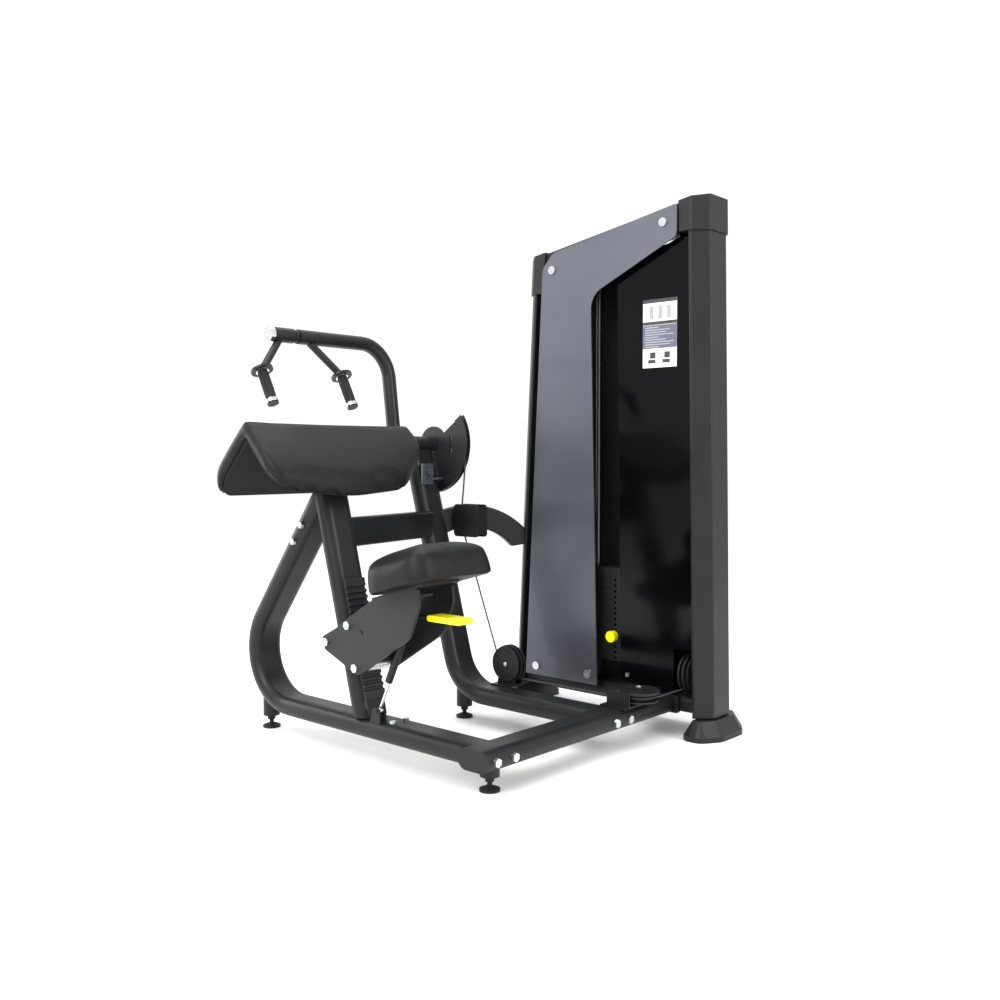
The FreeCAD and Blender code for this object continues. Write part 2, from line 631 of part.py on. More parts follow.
def make_cam():
    """A plate cam: hub, web with a curved slot, and a grooved rim that the cable wraps."""
    body = add("PartDesign::Body", "cam_body")
    start = cell.cam_end_angle
    end = cell.cam_tip_angle
    half = cell.cam_rim_width / 2
    gap = cell.groove_width / 2
    for side in (-1, 1):
        wall = half - gap
        pad(body, "XZ", sector(cell.cam_floor - 12, cell.cam_outer, start, end), wall,
            f"rim_wall_{side + 1}", side * (gap + wall / 2))
        if side < 0:
            pad(body, "XZ", sector(cell.cam_floor - 12, cell.cam_floor, start, end),
                "cam_rim_width", "rim_floor")
    pad(body, "XZ", sector(40, cell.cam_floor - 8, start, end), "cam_plate", "web")
    pad(body, "XZ", [ring("cam_hub")], "cam_plate", "hub")
    pocket(body, "XZ", sector(cell.cam_slot - 4, cell.cam_slot + 4, -19, 20), 40, "slot")
    pocket(body, "XZ", [ring("axle_radius + running_gap")], 60, "axle_bore")
    place(body, "axle_x", "cable_plane", "axle_level")
    flange = cylinder("hub_flange", 21.5, "cable_plane - housing_end - 5", "axle_x",
                      "housing_end + 1", "axle_level", "Y")
    bore = cylinder("flange_bore", "axle_radius + running_gap", 60, "axle_x", "housing_end - 10",
                    "axle_level", "Y")
    finish(fuse("cam_and_flange", [body, cut("flange_bored", flange, bore)]), "cam")
    wrap = add("PartDesign::Body", "wrap_body")
    radius = cell.cam_floor + cell.cable_radius + 0.5
    tip = math.radians(end - 2)
    tail = math.radians(start + 1)
    middle = (tip + tail) / 2
    arc = Part.Arc(*(flat(radius * math.cos(angle), radius * math.sin(angle))
                     for angle in (tip, middle, tail)))
    path = new_sketch(wrap, "XZ", [arc], "wrap_path")
    profile = new_sketch(wrap, "XY", [ring("cable_radius")], "wrap_profile")
    profile.MapMode = "Deactivated"
    normal = Vector(-math.sin(tip), 0, math.cos(tip))
    profile.Placement = Placement(Vector(radius * math.cos(tip), 0, radius * math.sin(tip)),
                                  Rotation(Vector(0, 0, 1), normal))
    feature = wrap.newObject("PartDesign::AdditivePipe", "wrap_pipe")
    feature.Profile = profile
    feature.Spine = (path, ["Edge1"])
    finish(wrap, "cam_cable", "axle_x", "cable_plane", "axle_level")


def make_arm():
    """A tube rises from the axle and bends level towards the user; handles hang from its bar."""
    body = add("PartDesign::Body", "arm_pipe_body")
    bend = cell.arm_bend
    height = cell.arm_height
    corner = cell.arm_y - bend
    slant = bend * math.sqrt(0.5)
    middle = flat(corner + slant, height - bend + slant)
    path = [Part.LineSegment(flat(cell.arm_y, 0), flat(cell.arm_y, height - bend)),
            Part.Arc(flat(cell.arm_y, height - bend), middle, flat(corner, height)),
            Part.LineSegment(flat(corner, height), flat(cell.bar_end, height))]
    pipe(body, "YZ", path, "XY", [ring("arm_radius", 0, cell.arm_y),
                                  ring("arm_radius - tube_wall", 0, cell.arm_y)], "arm_pipe")
    place(body, "axle_x", 0, "axle_level", LEAN, "-arm_lean")
    spot = ("axle_x", "arm_y - 22", "axle_level", "Y")
    cutter = cylinder("arm_hub_cutter", "arm_hub_radius - 0.5", "arm_hub_length", *spot)
    hub = cylinder("arm_hub", "arm_hub_radius", "arm_hub_length", *spot)
    bore = cylinder("arm_hub_bore", "axle_radius + running_gap", "arm_hub_length", *spot)
    finish(fuse("arm_welded", [cut("arm_coped", body, cutter), cut("arm_hub_bored", hub, bore)]),
           "arm_tube")
    spindle_y = cell.bar_end
    run = f"{spindle_y} - spindle_end"
    bar = cylinder("spindle_bar", "spindle_radius", run, bar_x(), "spindle_end", bar_z(), "Y")
    stop = cylinder("spindle_stop", "arm_radius", 12, bar_x(), "bar_end - 12", bar_z(), "Y")
    ring_mid = cylinder("spindle_ring", "sleeve_radius - 2", 12, bar_x(), 5.5, bar_z(), "Y")
    finish(fuse("spindle_parts", [bar, stop, ring_mid]), "handle_spindle")
    finish(cylinder("silver_cap", "end_cap_radius", "end_cap_length", bar_x(),
                    "spindle_end - end_cap_length", bar_z(), "Y"), "arm_end_cap",
           *bar_cap_place())


def bar_x():
    return f"axle_x - {math.sin(math.radians(cell.arm_lean)) * cell.arm_height}"


def bar_z():
    return f"axle_level + {math.cos(math.radians(cell.arm_lean)) * cell.arm_height}"


def bar_cap_place():
    return bar_x(), "spindle_end - end_cap_length", bar_z(), TURNS["Y"][0], TURNS["Y"][1]


def make_handle(side):
    """A sleeve on the bar, a slanting rod, a round flange and a rubber grip on a peg."""
    bar = Vector(cell.axle_x - math.sin(math.radians(cell.arm_lean)) * cell.arm_height, 0,
                 cell.axle_level + math.cos(math.radians(cell.arm_lean)) * cell.arm_height)
    sleeve_y = getattr(cell, side + "_sleeve_y")
    spread = getattr(cell, side + "_spread")
    start = bar + Vector(0, sleeve_y + spread * 0.12, -14)
    centre = bar + Vector(cell.handle_forward, sleeve_y + spread, -cell.handle_drop)
    run = centre - start
    end = centre - run.normalize() * 8
    lean = math.radians(cell.grip_lean)
    down = Vector(math.sin(lean), 0, -math.cos(lean))
    sleeve = cylinder(side + "_sleeve", "sleeve_radius", "sleeve_length", bar_x(),
                      f"{side}_sleeve_y - sleeve_length / 2", bar_z(), "Y")
    bore = cylinder(side + "_sleeve_bore", "spindle_radius + running_gap", "sleeve_length + 60",
                    bar_x(), f"{side}_sleeve_y - sleeve_length / 2 - 30", bar_z(), "Y")
    rod = rod_between(side + "_rod", "rod_radius", start, end)
    half = down * (cell.flange_thickness / 2)
    flange = rod_between(side + "_flange", "flange_radius", centre - half, centre + half)
    tip = centre + half + down * (cell.grip_length + 1)
    peg = rod_between(side + "_peg", "peg_radius", centre, tip)
    cap = rod_between(side + "_grip_end", "grip_radius + 1", tip - down * 0.2,
                      tip + down * cell.grip_cap_length)
    welded = fuse(side + "_handle_welded", [sleeve, rod, flange, peg, cap])
    finish(cut(side + "_handle_bored", welded, bore), side + "_handle")
    foot = centre + half + down * 0.5
    grip = rod_between(side + "_rubber", "grip_radius", foot, foot + down * cell.grip_length)
    core = rod_between(side + "_core", "peg_radius + running_gap", centre, tip + down * 5)
    finish(cut(side + "_grip_bored", grip, core), side + "_grip")


# ---- cable and pulleys ------------------------------------------------------------------------

def pulley_profile(outer):
    half = cell.pulley_width / 2
    gap = cell.groove_width / 2
    bore = cell.pin_radius + cell.running_gap
    floor = cell.pulley_cable - cell.cable_radius - 0.4
    return [(bore, -half), (16, -half), (18, 2 - half), (outer - 16, 2 - half),
            (outer - 13, -half, 1), (outer, 1 - half, 1), (outer, -gap - 1, 1), (floor, -gap),
            (floor, gap), (outer, gap + 1, 1), (outer, half - 1, 1), (outer - 13, half, 1),
            (outer - 16, half - 2), (18, half - 2), (16, half), (bore, half)]


PULLEYS = {
    "box_pulley": ("small_outer", "box_pulley_x", "cable_plane", "box_pulley_z", "Y"),
    "loop_pulley": ("pulley_outer", "loop_pulley_x", "cable_plane",
                    "cable_level + pulley_cable", "Y"),
    "flat_pulley": ("pulley_outer", "rise_x - pulley_cable", "cable_plane + pulley_cable",
                    "cable_level", "Z"),
    "foot_pulley": ("pulley_outer", "rise_x", "stack_y - pulley_cable",
                    "cable_level + pulley_cable", "X"),
    "near_top_pulley": ("small_outer", "rise_x - pulley_cable", "stack_y", "top_pulley_z", "Y"),
    "far_top_pulley": ("small_outer", "stack_x + pulley_cable", "stack_y", "top_pulley_z", "Y"),
}


def make_pulleys():
    for label, (outer, x, y, z, along) in PULLEYS.items():
        body = revolve(label + "_body", pulley_profile(getattr(cell, outer)))
        finish(body, label, x, y, z, *TURNS[along])


def pin_along(name, label, length):
    """A pin through a pulley, its middle at the pulley's."""
    _, *middle, along = PULLEYS[label]
    start = dict(zip("XYZ", middle))
    start[along] = f"{start[along]} - ({length}) / 2"
    return cylinder(name, "pin_radius", length, start["X"], start["Y"], start["Z"], along)


def make_pulley_brackets(beam_sky, arch_envelope):
    """Pins and cheek plates that hold the pulleys to the frame."""
    parts = []
    z_loop = cell.cable_level + cell.pulley_cable
    x = cell.loop_pulley_x
    y = cell.cable_plane
    cheek = outline([(x - 34, 105), (x + 34, 105), (x + 16, z_loop + 18, 16),
                     (x - 16, z_loop + 18, 16)])
    parts += [plate("loop_cheek_a", "XZ", cheek, 4, f"-({y} - 15)"),
              plate("loop_cheek_b", "XZ", cheek, 4, f"-({y} + 15)"),
              box("loop_bracket_foot", 68, 60, 4, x, y - 13, 105),
              pin_along("loop_pin", "loop_pulley", 40),
              bolt("loop_nut", 19, 7, x, y + 20, z_loop, "Y")]
    brackets = [fuse("loop_bracket_parts", parts)]
    flat_x = cell.rise_x - cell.pulley_cable
    flat_y = cell.cable_plane + cell.pulley_cable
    guard = outline([(-20, 105), (flat_x + 14, 105), (flat_x + 14, 148, 6), (-20, 148, 6)])
    parts = [cylinder("flat_pin", "pin_radius", 44, flat_x, flat_y, 104),
             cylinder("flat_washer", 20, 4, flat_x, flat_y, 142),
             bolt("flat_nut", 24, 7, flat_x, flat_y, 146, "Z"),
             box("flat_foot", 80, 130, 5, 6, flat_y - 10, 105),
             plate("flat_guard", "XZ", guard, 4, f"-({flat_y} - 62)")]
    brackets.append(fuse("flat_bracket_parts", parts))
    foot_y = cell.stack_y - cell.pulley_cable
    cheek = outline([(foot_y + 2, 105), (foot_y + 70, 105), (foot_y + 16, z_loop + 18, 16),
                     (foot_y - 16, z_loop + 18, 16)])
    parts = [plate("foot_cheek_a", "YZ", cheek, 4, cell.rise_x - 15),
             plate("foot_cheek_b", "YZ", cheek, 4, cell.rise_x + 15),
             box("foot_bracket_foot", 50, 66, 4, cell.rise_x, foot_y + 36, 105),
             pin_along("foot_pin", "foot_pulley", 40)]
    brackets.append(fuse("foot_bracket_parts", parts))
    hangers = []
    for label in ("near_top_pulley", "far_top_pulley"):
        hang_x = flat_x if label.startswith("near") else cell.stack_x + cell.pulley_cable
        for index, side in enumerate((-1, 1)):
            strap = rectangle(hang_x - 18, hang_x + 18, cell.top_pulley_z - 20, 1420, 10)
            hangers.append(plate(f"{label}_strap_{index}", "XZ", strap, 4,
                                 f"-(stack_y + {side * 15})"))
        hangers.append(pin_along(label + "_pin", label, 40))
    brackets.append(cut("hangers_trimmed", fuse("hanger_parts", hangers), beam_sky))
    finish(group("bracket_group", brackets), "pulley_brackets")
    box_x = cell.box_pulley_x
    low = cell.box_pulley_z - 47
    side = rectangle(box_x - 50, box_x + 50, low, low + 95, 12)
    back = box("box_back", 4, 38, 80, box_x + 48, "cable_plane", low + 8)
    parts = [plate("box_side_a", "XZ", side, 4, "-(cable_plane - 17)"),
             plate("box_side_b", "XZ", side, 4, "-(cable_plane + 17)"), back,
             pin_along("box_pin", "box_pulley", 44),
             bolt("box_nut", 19, 7, box_x, "cable_plane + 22", "box_pulley_z", "Y")]
    parts.append(box("box_arm", 60, 44, 40, box_x - 60, "cable_plane + 37", low + 20))
    finish(cut("pulley_box_coped", fuse("pulley_box_parts", parts), arch_envelope), "pulley_box")


def make_cable():
    """Steel cable from the cam, under and over six pulleys, to the centre of the stack."""
    reach = cell.pulley_cable
    plane = cell.cable_plane
    cam = Vector(cell.axle_x, plane, cell.axle_level)
    first = Vector(cell.box_pulley_x, plane, cell.box_pulley_z)
    second = Vector(cell.loop_pulley_x, plane, cell.cable_level + reach)
    third = Vector(cell.rise_x - reach, plane + reach, cell.cable_level)
    fourth = Vector(cell.rise_x, cell.stack_y - reach, cell.cable_level + reach)
    fifth = Vector(cell.rise_x - reach, cell.stack_y, cell.top_pulley_z)
    sixth = Vector(cell.stack_x + reach, cell.stack_y, cell.top_pulley_z)
    span = first - cam
    slope = math.atan2(span.z, span.x) - math.asin((cell.cam_cable + reach) / span.Length)
    out = Vector(-math.sin(slope), 0, math.cos(slope))
    leave_cam = cam + out * cell.cam_cable
    heading = Vector(math.cos(slope), 0, math.sin(slope))
    drop = (second - first).normalize()
    side = Vector(drop.z, 0, -drop.x)
    x_axis, y_axis, z_axis = Vector(1, 0, 0), Vector(0, 1, 0), Vector(0, 0, 1)
    turns = [(first, -out, side), (second, side, -z_axis), (third, -y_axis, x_axis),
             (fourth, -z_axis, y_axis), (fifth, x_axis, z_axis), (sixth, z_axis, -x_axis)]
    last = leave_cam - heading * 18
    edges = []
    for centre, into, away in turns:
        start = centre + into * reach
        middle = centre + (into + away).normalize() * reach
        edges.append(Part.LineSegment(last, start).toShape())
        edges.append(Part.Arc(start, middle, centre + away * reach).toShape())
        last = centre + away * reach
    path = Part.Wire(edges)
    begin = edges[0].Vertexes[0].Point
    section = Part.Wire([Part.Circle(begin, heading, cell.cable_radius).toShape()])
    solid = path.makePipeShell([section], True, False)
    area = math.pi * cell.cable_radius ** 2
    print("cable length", round(path.Length), "bend radius", reach, "volume ratio",
          round(solid.Volume / (area * path.Length), 4))
    item = add("Part::Feature", "cable_run")
    item.Shape = solid
    finish(item, "main_cable")


# ---- weight stack -----------------------------------------------------------------------------

def stack_block(name, count, first, thickness):
    """Plates above one another, bored for the guide rods and the stem and drilled in front."""
    blocks = []
    for index in range(count):
        level = f"stack_bottom + {first + index} * plate_pitch"
        blocks.append(box(f"{name}_{index}", "plate_width", "plate_depth", thickness, "stack_x",
                          "stack_y", level))
    bores = []
    for index, (offset, radius) in enumerate((("-rod_spread", "guide_radius + 0.6"),
                                              ("rod_spread", "guide_radius + 0.6"),
                                              ("0", "stem_bore"))):
        bores.append(cylinder(f"{name}_bore_{index}", radius, 600, f"stack_x + {offset}",
                              "stack_y", 100))
    for index in range(count):
        level = f"stack_bottom + {first + index} * plate_pitch + plate_thickness / 2"
        bores.append(cylinder(f"{name}_hole_{index}", "pin_hole", "plate_depth / 2 + 30",
                              "stack_x", "stack_y - plate_depth / 2 - 5", level, "Y"))
    return cut(name + "_bored", group(name + "_blocks", blocks), fuse(name + "_bores", bores))


def make_stack(beam_sky):
    lower = int(cell.lower_count)
    moving = int(cell.moving_count)
    finish(stack_block("lower", lower, 0, "plate_thickness"), "lower_plates")
    finish(stack_block("moving", moving, lower, "plate_thickness"), "selected_plates")
    top = f"(stack_bottom + {lower + moving} * plate_pitch)"
    head = box("head_block", "plate_width", "plate_depth", "head_thickness", "stack_x", "stack_y",
               top)
    bores = [cylinder(f"head_bore_{index}", "guide_radius + 0.6", 100, f"stack_x + {offset}",
                      "stack_y", 380) for index, offset in enumerate(("-rod_spread", "rod_spread"))]
    clevis = cylinder("clevis", 14, f"clevis_top - {top} - head_thickness", "stack_x", "stack_y",
                      f"{top} + head_thickness")
    bored = cut("head_bored", fuse("head_and_clevis", [head, clevis]), fuse("head_bores", bores))
    finish(bored, "head_plate")
    stem = cylinder("stem_bar", "stem_width", f"{top} - 0.5 - stack_bottom - 4", "stack_x",
                    "stack_y", "stack_bottom + 4")
    holes = [cylinder(f"stem_hole_{index}", "pin_hole", 60, "stack_x", "stack_y - 30",
                      f"stack_bottom + {index} * plate_pitch + plate_thickness / 2", "Y")
             for index in range(1, lower + moving)]
    finish(cut("stem_drilled", stem, fuse("stem_holes", holes)), "selector_stem")
    rods = []
    for index, offset in enumerate(("-rod_spread", "rod_spread")):
        x = f"stack_x + {offset}"
        rod = cylinder(f"guide_{index}", "guide_radius", "guide_top - 105", x, "stack_y", 105)
        block = box(f"guide_block_{index}", 24, 30, 20, x, "stack_y + 5", "guide_top - 20")
        strap = box(f"guide_strap_{index}", 24, 4, 200, x, "stack_y + 18", "guide_top - 20")
        rods.append(cut(f"guide_trimmed_{index}", fuse(f"guide_parts_{index}",
                                                       [rod, block, strap]), beam_sky))
    finish(group("guides", rods), "guide_rods")
    bumpers = []
    for index, offset in enumerate(("-rod_spread", "rod_spread")):
        for name, radius, foot, height in (
                ("rubber", "bumper_radius", "bumper_foot", "stack_bottom - bumper_foot - 0.5"),
                ("spacer", "bumper_radius - 6", "105", "bumper_foot - 105")):
            solid = cylinder(f"{name}_{index}", radius, height, f"stack_x + {offset}", "stack_y",
                             foot)
            bore = cylinder(f"{name}_bore_{index}", "guide_radius + running_gap", 200,
                            f"stack_x + {offset}", "stack_y", 80)
            bumpers.append(cut(f"{name}_bored_{index}", solid, bore))
    finish(group("bumpers", bumpers), "stack_bumpers")
    level = f"stack_bottom + {lower} * plate_pitch + plate_thickness / 2"
    front = "stack_y - plate_depth / 2"
    shaft = cylinder("pin_bar", "pin_shaft", 70, "stack_x", f"{front} - 6", level, "Y")
    collar = cylinder("pin_collar", 9, 5, "stack_x", f"{front} - 6", level, "Y")
    knob = cylinder("pin_knob", "knob_radius", 18, "stack_x", f"{front} - 24", level, "Y")
    finish(fuse("pin_parts", [shaft, collar, knob]), "selector_pin")
    finish(cylinder("tail_cable", "cable_radius", "top_pulley_z - clevis_top", 0, 0, 0),
           "stack_cable", "stack_x", "stack_y", "clevis_top")


# ---- seat -------------------------------------------------------------------------------------

def make_rails():
    back = plate("back_strip", "XY", rectangle(
        -cell.column_depth / 2 - cell.back_rail_thickness, -cell.column_depth / 2,
        -cell.back_rail_width / 2, cell.back_rail_width / 2), "rail_length",
        "rail_start + rail_length / 2")
    finish_on_column(back, "back_rail")
    base = cell.column_depth / 2
    tip = base + cell.front_rail_thickness
    length = int(cell.rail_length / cell.tooth_pitch) * cell.tooth_pitch
    low = cell.rail_start + 8
    points = [(base, low), (tip, low)]
    teeth = int(length / cell.tooth_pitch) - 3
    for index in range(teeth):
        at = low + 20 + index * cell.tooth_pitch
        points += [(tip, at), (tip - 5, at + 2), (tip - 5, at + 7), (tip, at + 9)]
    high = low + 20 + teeth * cell.tooth_pitch + 14
    points += [(tip, high), (base, high)]
    rack = plate("rack_strip", "XZ", outline(points), "rail_width")
    finish_on_column(rack, "toothed_rail")


def make_carriage():
    """Two side plates straddle the column on rollers and carry the seat plate."""
    shape = [(-64, 214, 12), (-58, 182, 12), (-6, 144, 30), (48, 101, 14), (68, 104, 12),
             (262, 160, 60), (314, 228, 24), (321, 271, 6), (152, 271, 20), (59, 246, 30),
             (0, 228, 30), (-46, 219, 14)]
    members = []
    for index, side in enumerate((-1, 1)):
        middle = f"{side} * (plate_gap + side_thickness) / 2"
        members.append(plate(f"side_plate_{index}", "XZ", outline(shape), "side_thickness", middle,
                             [ring(5, cell.lever_u, cell.lever_w)]))
    seat_plate = rectangle(150, 345, -60, 60, 8)
    members.append(plate("seat_plate", "XY", seat_plate, "seat_plate_thickness",
                         "plate_top + seat_plate_thickness / 2"))
    spring_u, spring_w = from_column(cell.spring_top_x, cell.spring_top_z)
    members.append(cylinder("spring_top_pin", 5, "plate_gap / 2 + 10", spring_u,
                            "-plate_gap / 2", spring_w, "Y"))
    finish_on_column(fuse("carriage_welded", members), "carriage")
    rollers = []
    spots = (("back", "back_roller_u", "back_roller_w", "back_roller_radius"),
             ("upper", "front_roller_u", "upper_roller_w", "front_roller_radius"),
             ("lower", "front_roller_u", "lower_roller_w", "front_roller_radius"))
    for name, u, w, radius in spots:
        rollers.append(cylinder(name + "_roller", radius, "plate_gap - 6", u,
                                "-plate_gap / 2 + 3", w, "Y"))
        for index, side in enumerate((-1, 1)):
            start = f"{side} * (plate_gap / 2 + side_thickness + 3.6) - 3.5"
            rollers.append(bolt(f"{name}_head_{index}", 20, 7, u, start, w, "Y"))
    finish_on_column(group("rollers", rollers), "carriage_rollers")
    cushion = add("PartDesign::Body", "cushion_body")
    half = cell.seat_width / 2
    low = cell.seat_start
    high = low + cell.seat_depth
    pad(cushion, "XY", outline([(low, -half, 70), (high, -half, 46), (high, half, 46),
                                (low, half, 70)]), "cushion_height", "cushion_pad",
        "plate_top + seat_plate_thickness + cushion_height / 2 + 0.1")
    finish_on_column(cushion, "seat_cushion")


def make_latch():
    """A pawl block on a cross pin, worked by a thin rod with a flat paddle."""
    pivot = Vector(*on_column_vector(cell.lever_u, cell.lever_w))
    pin = cylinder("latch_pin", 4.9, "plate_gap + 2 * side_thickness + 4", pivot.x,
                   "-plate_gap / 2 - side_thickness - 2", pivot.z, "Y")
    block_points = [on_column(u, w) for u, w in ((106, 214), (80, 214), (37, 158), (37, 146),
                                                 (60, 142), (110, 186))]
    block = plate("pawl_block", "XZ", outline(block_points), 30)
    elbow = Vector(-235, 0, 372)
    tip = Vector(-176, 0, 376)
    front = rod_between("lever_front", 4, pivot, elbow)
    back = rod_between("lever_back", 4, elbow, tip + Vector(30, 0, 0))
    finish(fuse("latch_parts", [pin, block, front, back]), "latch_lever")
    body = plate("paddle_body", "XZ", rectangle(-180, -72, 369, 383, 5), 44)
    bore = rod_between("paddle_bore", 4.05, elbow, tip + Vector(31, 0, 0))
    finish(cut("paddle_bored", body, bore), "lever_paddle")


def on_column_vector(u, w):
    x, z = on_column(u, w)
    return x, 0, z


def make_gas_spring(front_envelope):
    foot = Vector(cell.spring_foot_x, cell.spring_y, cell.spring_foot_z)
    top = Vector(cell.spring_top_x, cell.spring_y, cell.spring_top_z)
    down = (foot - top).normalize()
    side = Vector(down.z, 0, -down.x) * cell.spring_offset
    begin = top + side + down * 14
    end = begin + down * cell.cylinder_length
    shell = rod_between("cylinder_shell", "cylinder_radius", begin, end)
    bore = rod_between("cylinder_bore_cut", "cylinder_bore", begin + down * 10, end + down)
    eye = cylinder("cylinder_eye", 11, 14, "spring_top_x", "spring_y - 7", "spring_top_z", "Y")
    hole = cylinder("cylinder_eye_hole", 5.05, 30, "spring_top_x", "spring_y - 15",
                    "spring_top_z", "Y")
    neck = rod_between("cylinder_neck", 6, top + side, begin + down * 2)
    bored = cut("cylinder_bored", fuse("cylinder_parts", [shell, neck, eye]),
                fuse("cylinder_cuts", [bore, hole]))
    finish(bored, "gas_cylinder")
    stick = rod_between("piston_stick", "piston_radius", foot, foot - down * cell.piston_length)
    eye = cylinder("piston_eye", 9, 12, "spring_foot_x", "spring_y - 6", "spring_foot_z", "Y")
    hole = cylinder("piston_eye_hole", 5.05, 30, "spring_foot_x", "spring_y - 15",
                    "spring_foot_z", "Y")
    finish(cut("piston_bored", fuse("piston_parts", [stick, eye]), hole), "gas_rod")
    foot_y = cell.spring_y
    cheek = outline([(cell.spring_foot_x - 26, 92), (cell.spring_foot_x + 14, 92),
                     (cell.spring_foot_x + 12, 140, 11), (cell.spring_foot_x - 12, 140, 11)])
    parts = [plate("spring_cheek_a", "XZ", cheek, 4, f"-({foot_y} - 9)"),
             plate("spring_cheek_b", "XZ", cheek, 4, f"-({foot_y} + 9)"),
             cylinder("spring_foot_pin", 5, 26, "spring_foot_x", foot_y - 13, "spring_foot_z",
                      "Y")]
    finish(cut("spring_bracket_coped", fuse("spring_bracket_parts", parts), front_envelope),
           "spring_bracket")


# ---- arm pad ----------------------------------------------------------------------------------

def roof(name, top, thickness, plan_points):
    """A bent plate like a roof, its two faces at 45 degrees, cut to a plan outline."""
    drop = thickness * math.sqrt(2)
    reach = 200
    section = [(0, top), (-reach, top - reach), (-reach, top - reach - drop), (0, top - drop),
               (reach, top - reach - drop), (reach, top - reach)]
    body = plate(name + "_chevron", "XZ", outline(section), 900)
    plan = plate(name + "_plan", "XY", outline(plan_points), 900, 700)
    item = add("Part::Common", name + "_common")
    item.Base = body
    item.Tool = plan
    return item


def pad_plan(inset):
    """The pad seen from above: its forward edge swells, and its far corner is well rounded."""
    near = cell.pad_near + inset
    far = cell.pad_far - inset
    forward = cell.pad_forward - inset
    back = cell.pad_back - inset
    return [(-back, near, 45), (10, near, 0), (0.85 * forward, near, 50),
            (forward + 2, -30, 600), (0.92 * forward, far - 125, 90), (0.35 * forward, far + 6, 45),
            (0, far, 0), (-back, far, 45)]


def make_pad(column_envelope):
    foam = cell.foam_thickness
    board = cell.board_thickness
    pad_solid = roof("foam", cell.ridge_level, foam, pad_plan(0))
    finish(pad_solid, "arm_pad", "ridge_x", 0, 0)
    top = cell.ridge_level - foam * math.sqrt(2) - 0.2
    board_solid = roof("board", top, board, pad_plan(12))
    finish(board_solid, "pad_board", "ridge_x", 0, 0)
    inside = top - board * math.sqrt(2) - 0.1
    wedge = outline([(0, inside), (-70, inside - 70), (-70, inside - 76), (70, inside - 76),
                     (70, inside - 70)])
    bracket = place(plate("bracket_wedge", "XZ", wedge, 64), "ridge_x", 0, 0)
    return cut("bracket_coped", bracket, column_envelope)


# ---- frame fittings ---------------------------------------------------------------------------

def make_fittings(rear_envelope):
    """Bolted plates of the frame, and its visible bolts."""
    stop = box("stop_block", 6, 44, 62, -645, 428, 673)
    bumper = cylinder("stop_rubber", 9, 16, -642, 428, 709, "X")
    rod = cylinder("stop_pin", 4, 60, -640, 424, 690, "Y")
    solid = fuse("stop_parts", [stop, bumper, rod])
    finish(cut("stop_coped", solid, rear_envelope), "stop_plate")
    heads = []
    for index, (x, z) in enumerate(((16, 1382), (-366, 1300), (-424, 127), (-231, 129))):
        heads.append(cylinder(f"cover_bolt_{index}", 12, 5, x, "panel_y - 7", z, "Y"))
    heads.append(cylinder("cover_screw", 6, 4, -107, "black_y - 6", 140, "Y"))
    half = cell.tube_width / 2
    bolts = heads
    for index, y in enumerate((-30, 30, 421, 479)):
        bolts.append(bolt(f"beam_bolt_{index}", 19, 8, half, y, "tube_level", "X"))
    for index, (x, z) in enumerate(((-623, 577), (-657, 532))):
        bolts.append(bolt(f"brace_bolt_{index}", 17, 8, x, -half - 8, z, "Y"))
    for index, y in enumerate((-22, 22)):
        bolts.append(bolt(f"socket_bolt_{index}", 14, 6, -300, y, 105, "Z"))
    finish(group("bolt_heads", bolts), "frame_bolts")


# ---- assembly ---------------------------------------------------------------------------------

beam_solid = make_beam()
column_solid = column_shape("column_envelope", oval, 0.1)
housing_solid = cylinder("housing_envelope", "housing_radius", "housing_end - housing_start + 40",
                         "axle_x", "housing_start - 20", "axle_level", "Y")
front_solid, rear_solid = make_loops(beam_solid, column_solid, housing_solid)
upright_solids = make_uprights()
arch_solid = make_braces(column_solid, rear_solid, upright_solids["far"])
make_feet()
sky_block, beam_sky_block = make_sky()
make_tower_top(upright_solids, sky_block)
make_tower_base(upright_solids)
make_covers()
make_axle()
make_cam()
make_arm()
make_handle("near")
make_handle("far")
make_pulleys()
make_pulley_brackets(beam_sky_block, arch_solid)
make_cable()
make_stack(beam_sky_block)
make_rails()
make_carriage()
make_latch()
make_gas_spring(front_solid)
make_column(make_pad(column_solid))
make_fittings(rear_solid)

doc.recompute()
failed = [item.Name for item in doc.Objects if {"Invalid", "Error"} & set(item.State)]
if failed:
    raise RuntimeError(f"objects failed: {failed}")
for item in SUBPARTS:
    if item.Shape.isNull() or not item.Shape.isValid():
        raise RuntimeError(f"{item.Label} has no valid shape")
    item.Shape.exportStep(f"parts/{item.Label}.step")
boxes = [item.Shape.optimalBoundingBox(False) for item in SUBPARTS]
low = [min(getattr(each, side) for each in boxes) for side in ("XMin", "YMin", "ZMin")]
high = [max(getattr(each, side) for each in boxes) for side in ("XMax", "YMax", "ZMax")]
print(len(SUBPARTS), "sub-parts; box from", [round(value, 1) for value in low], "to",
      [round(value, 1) for value in high])
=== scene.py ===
import json
import math

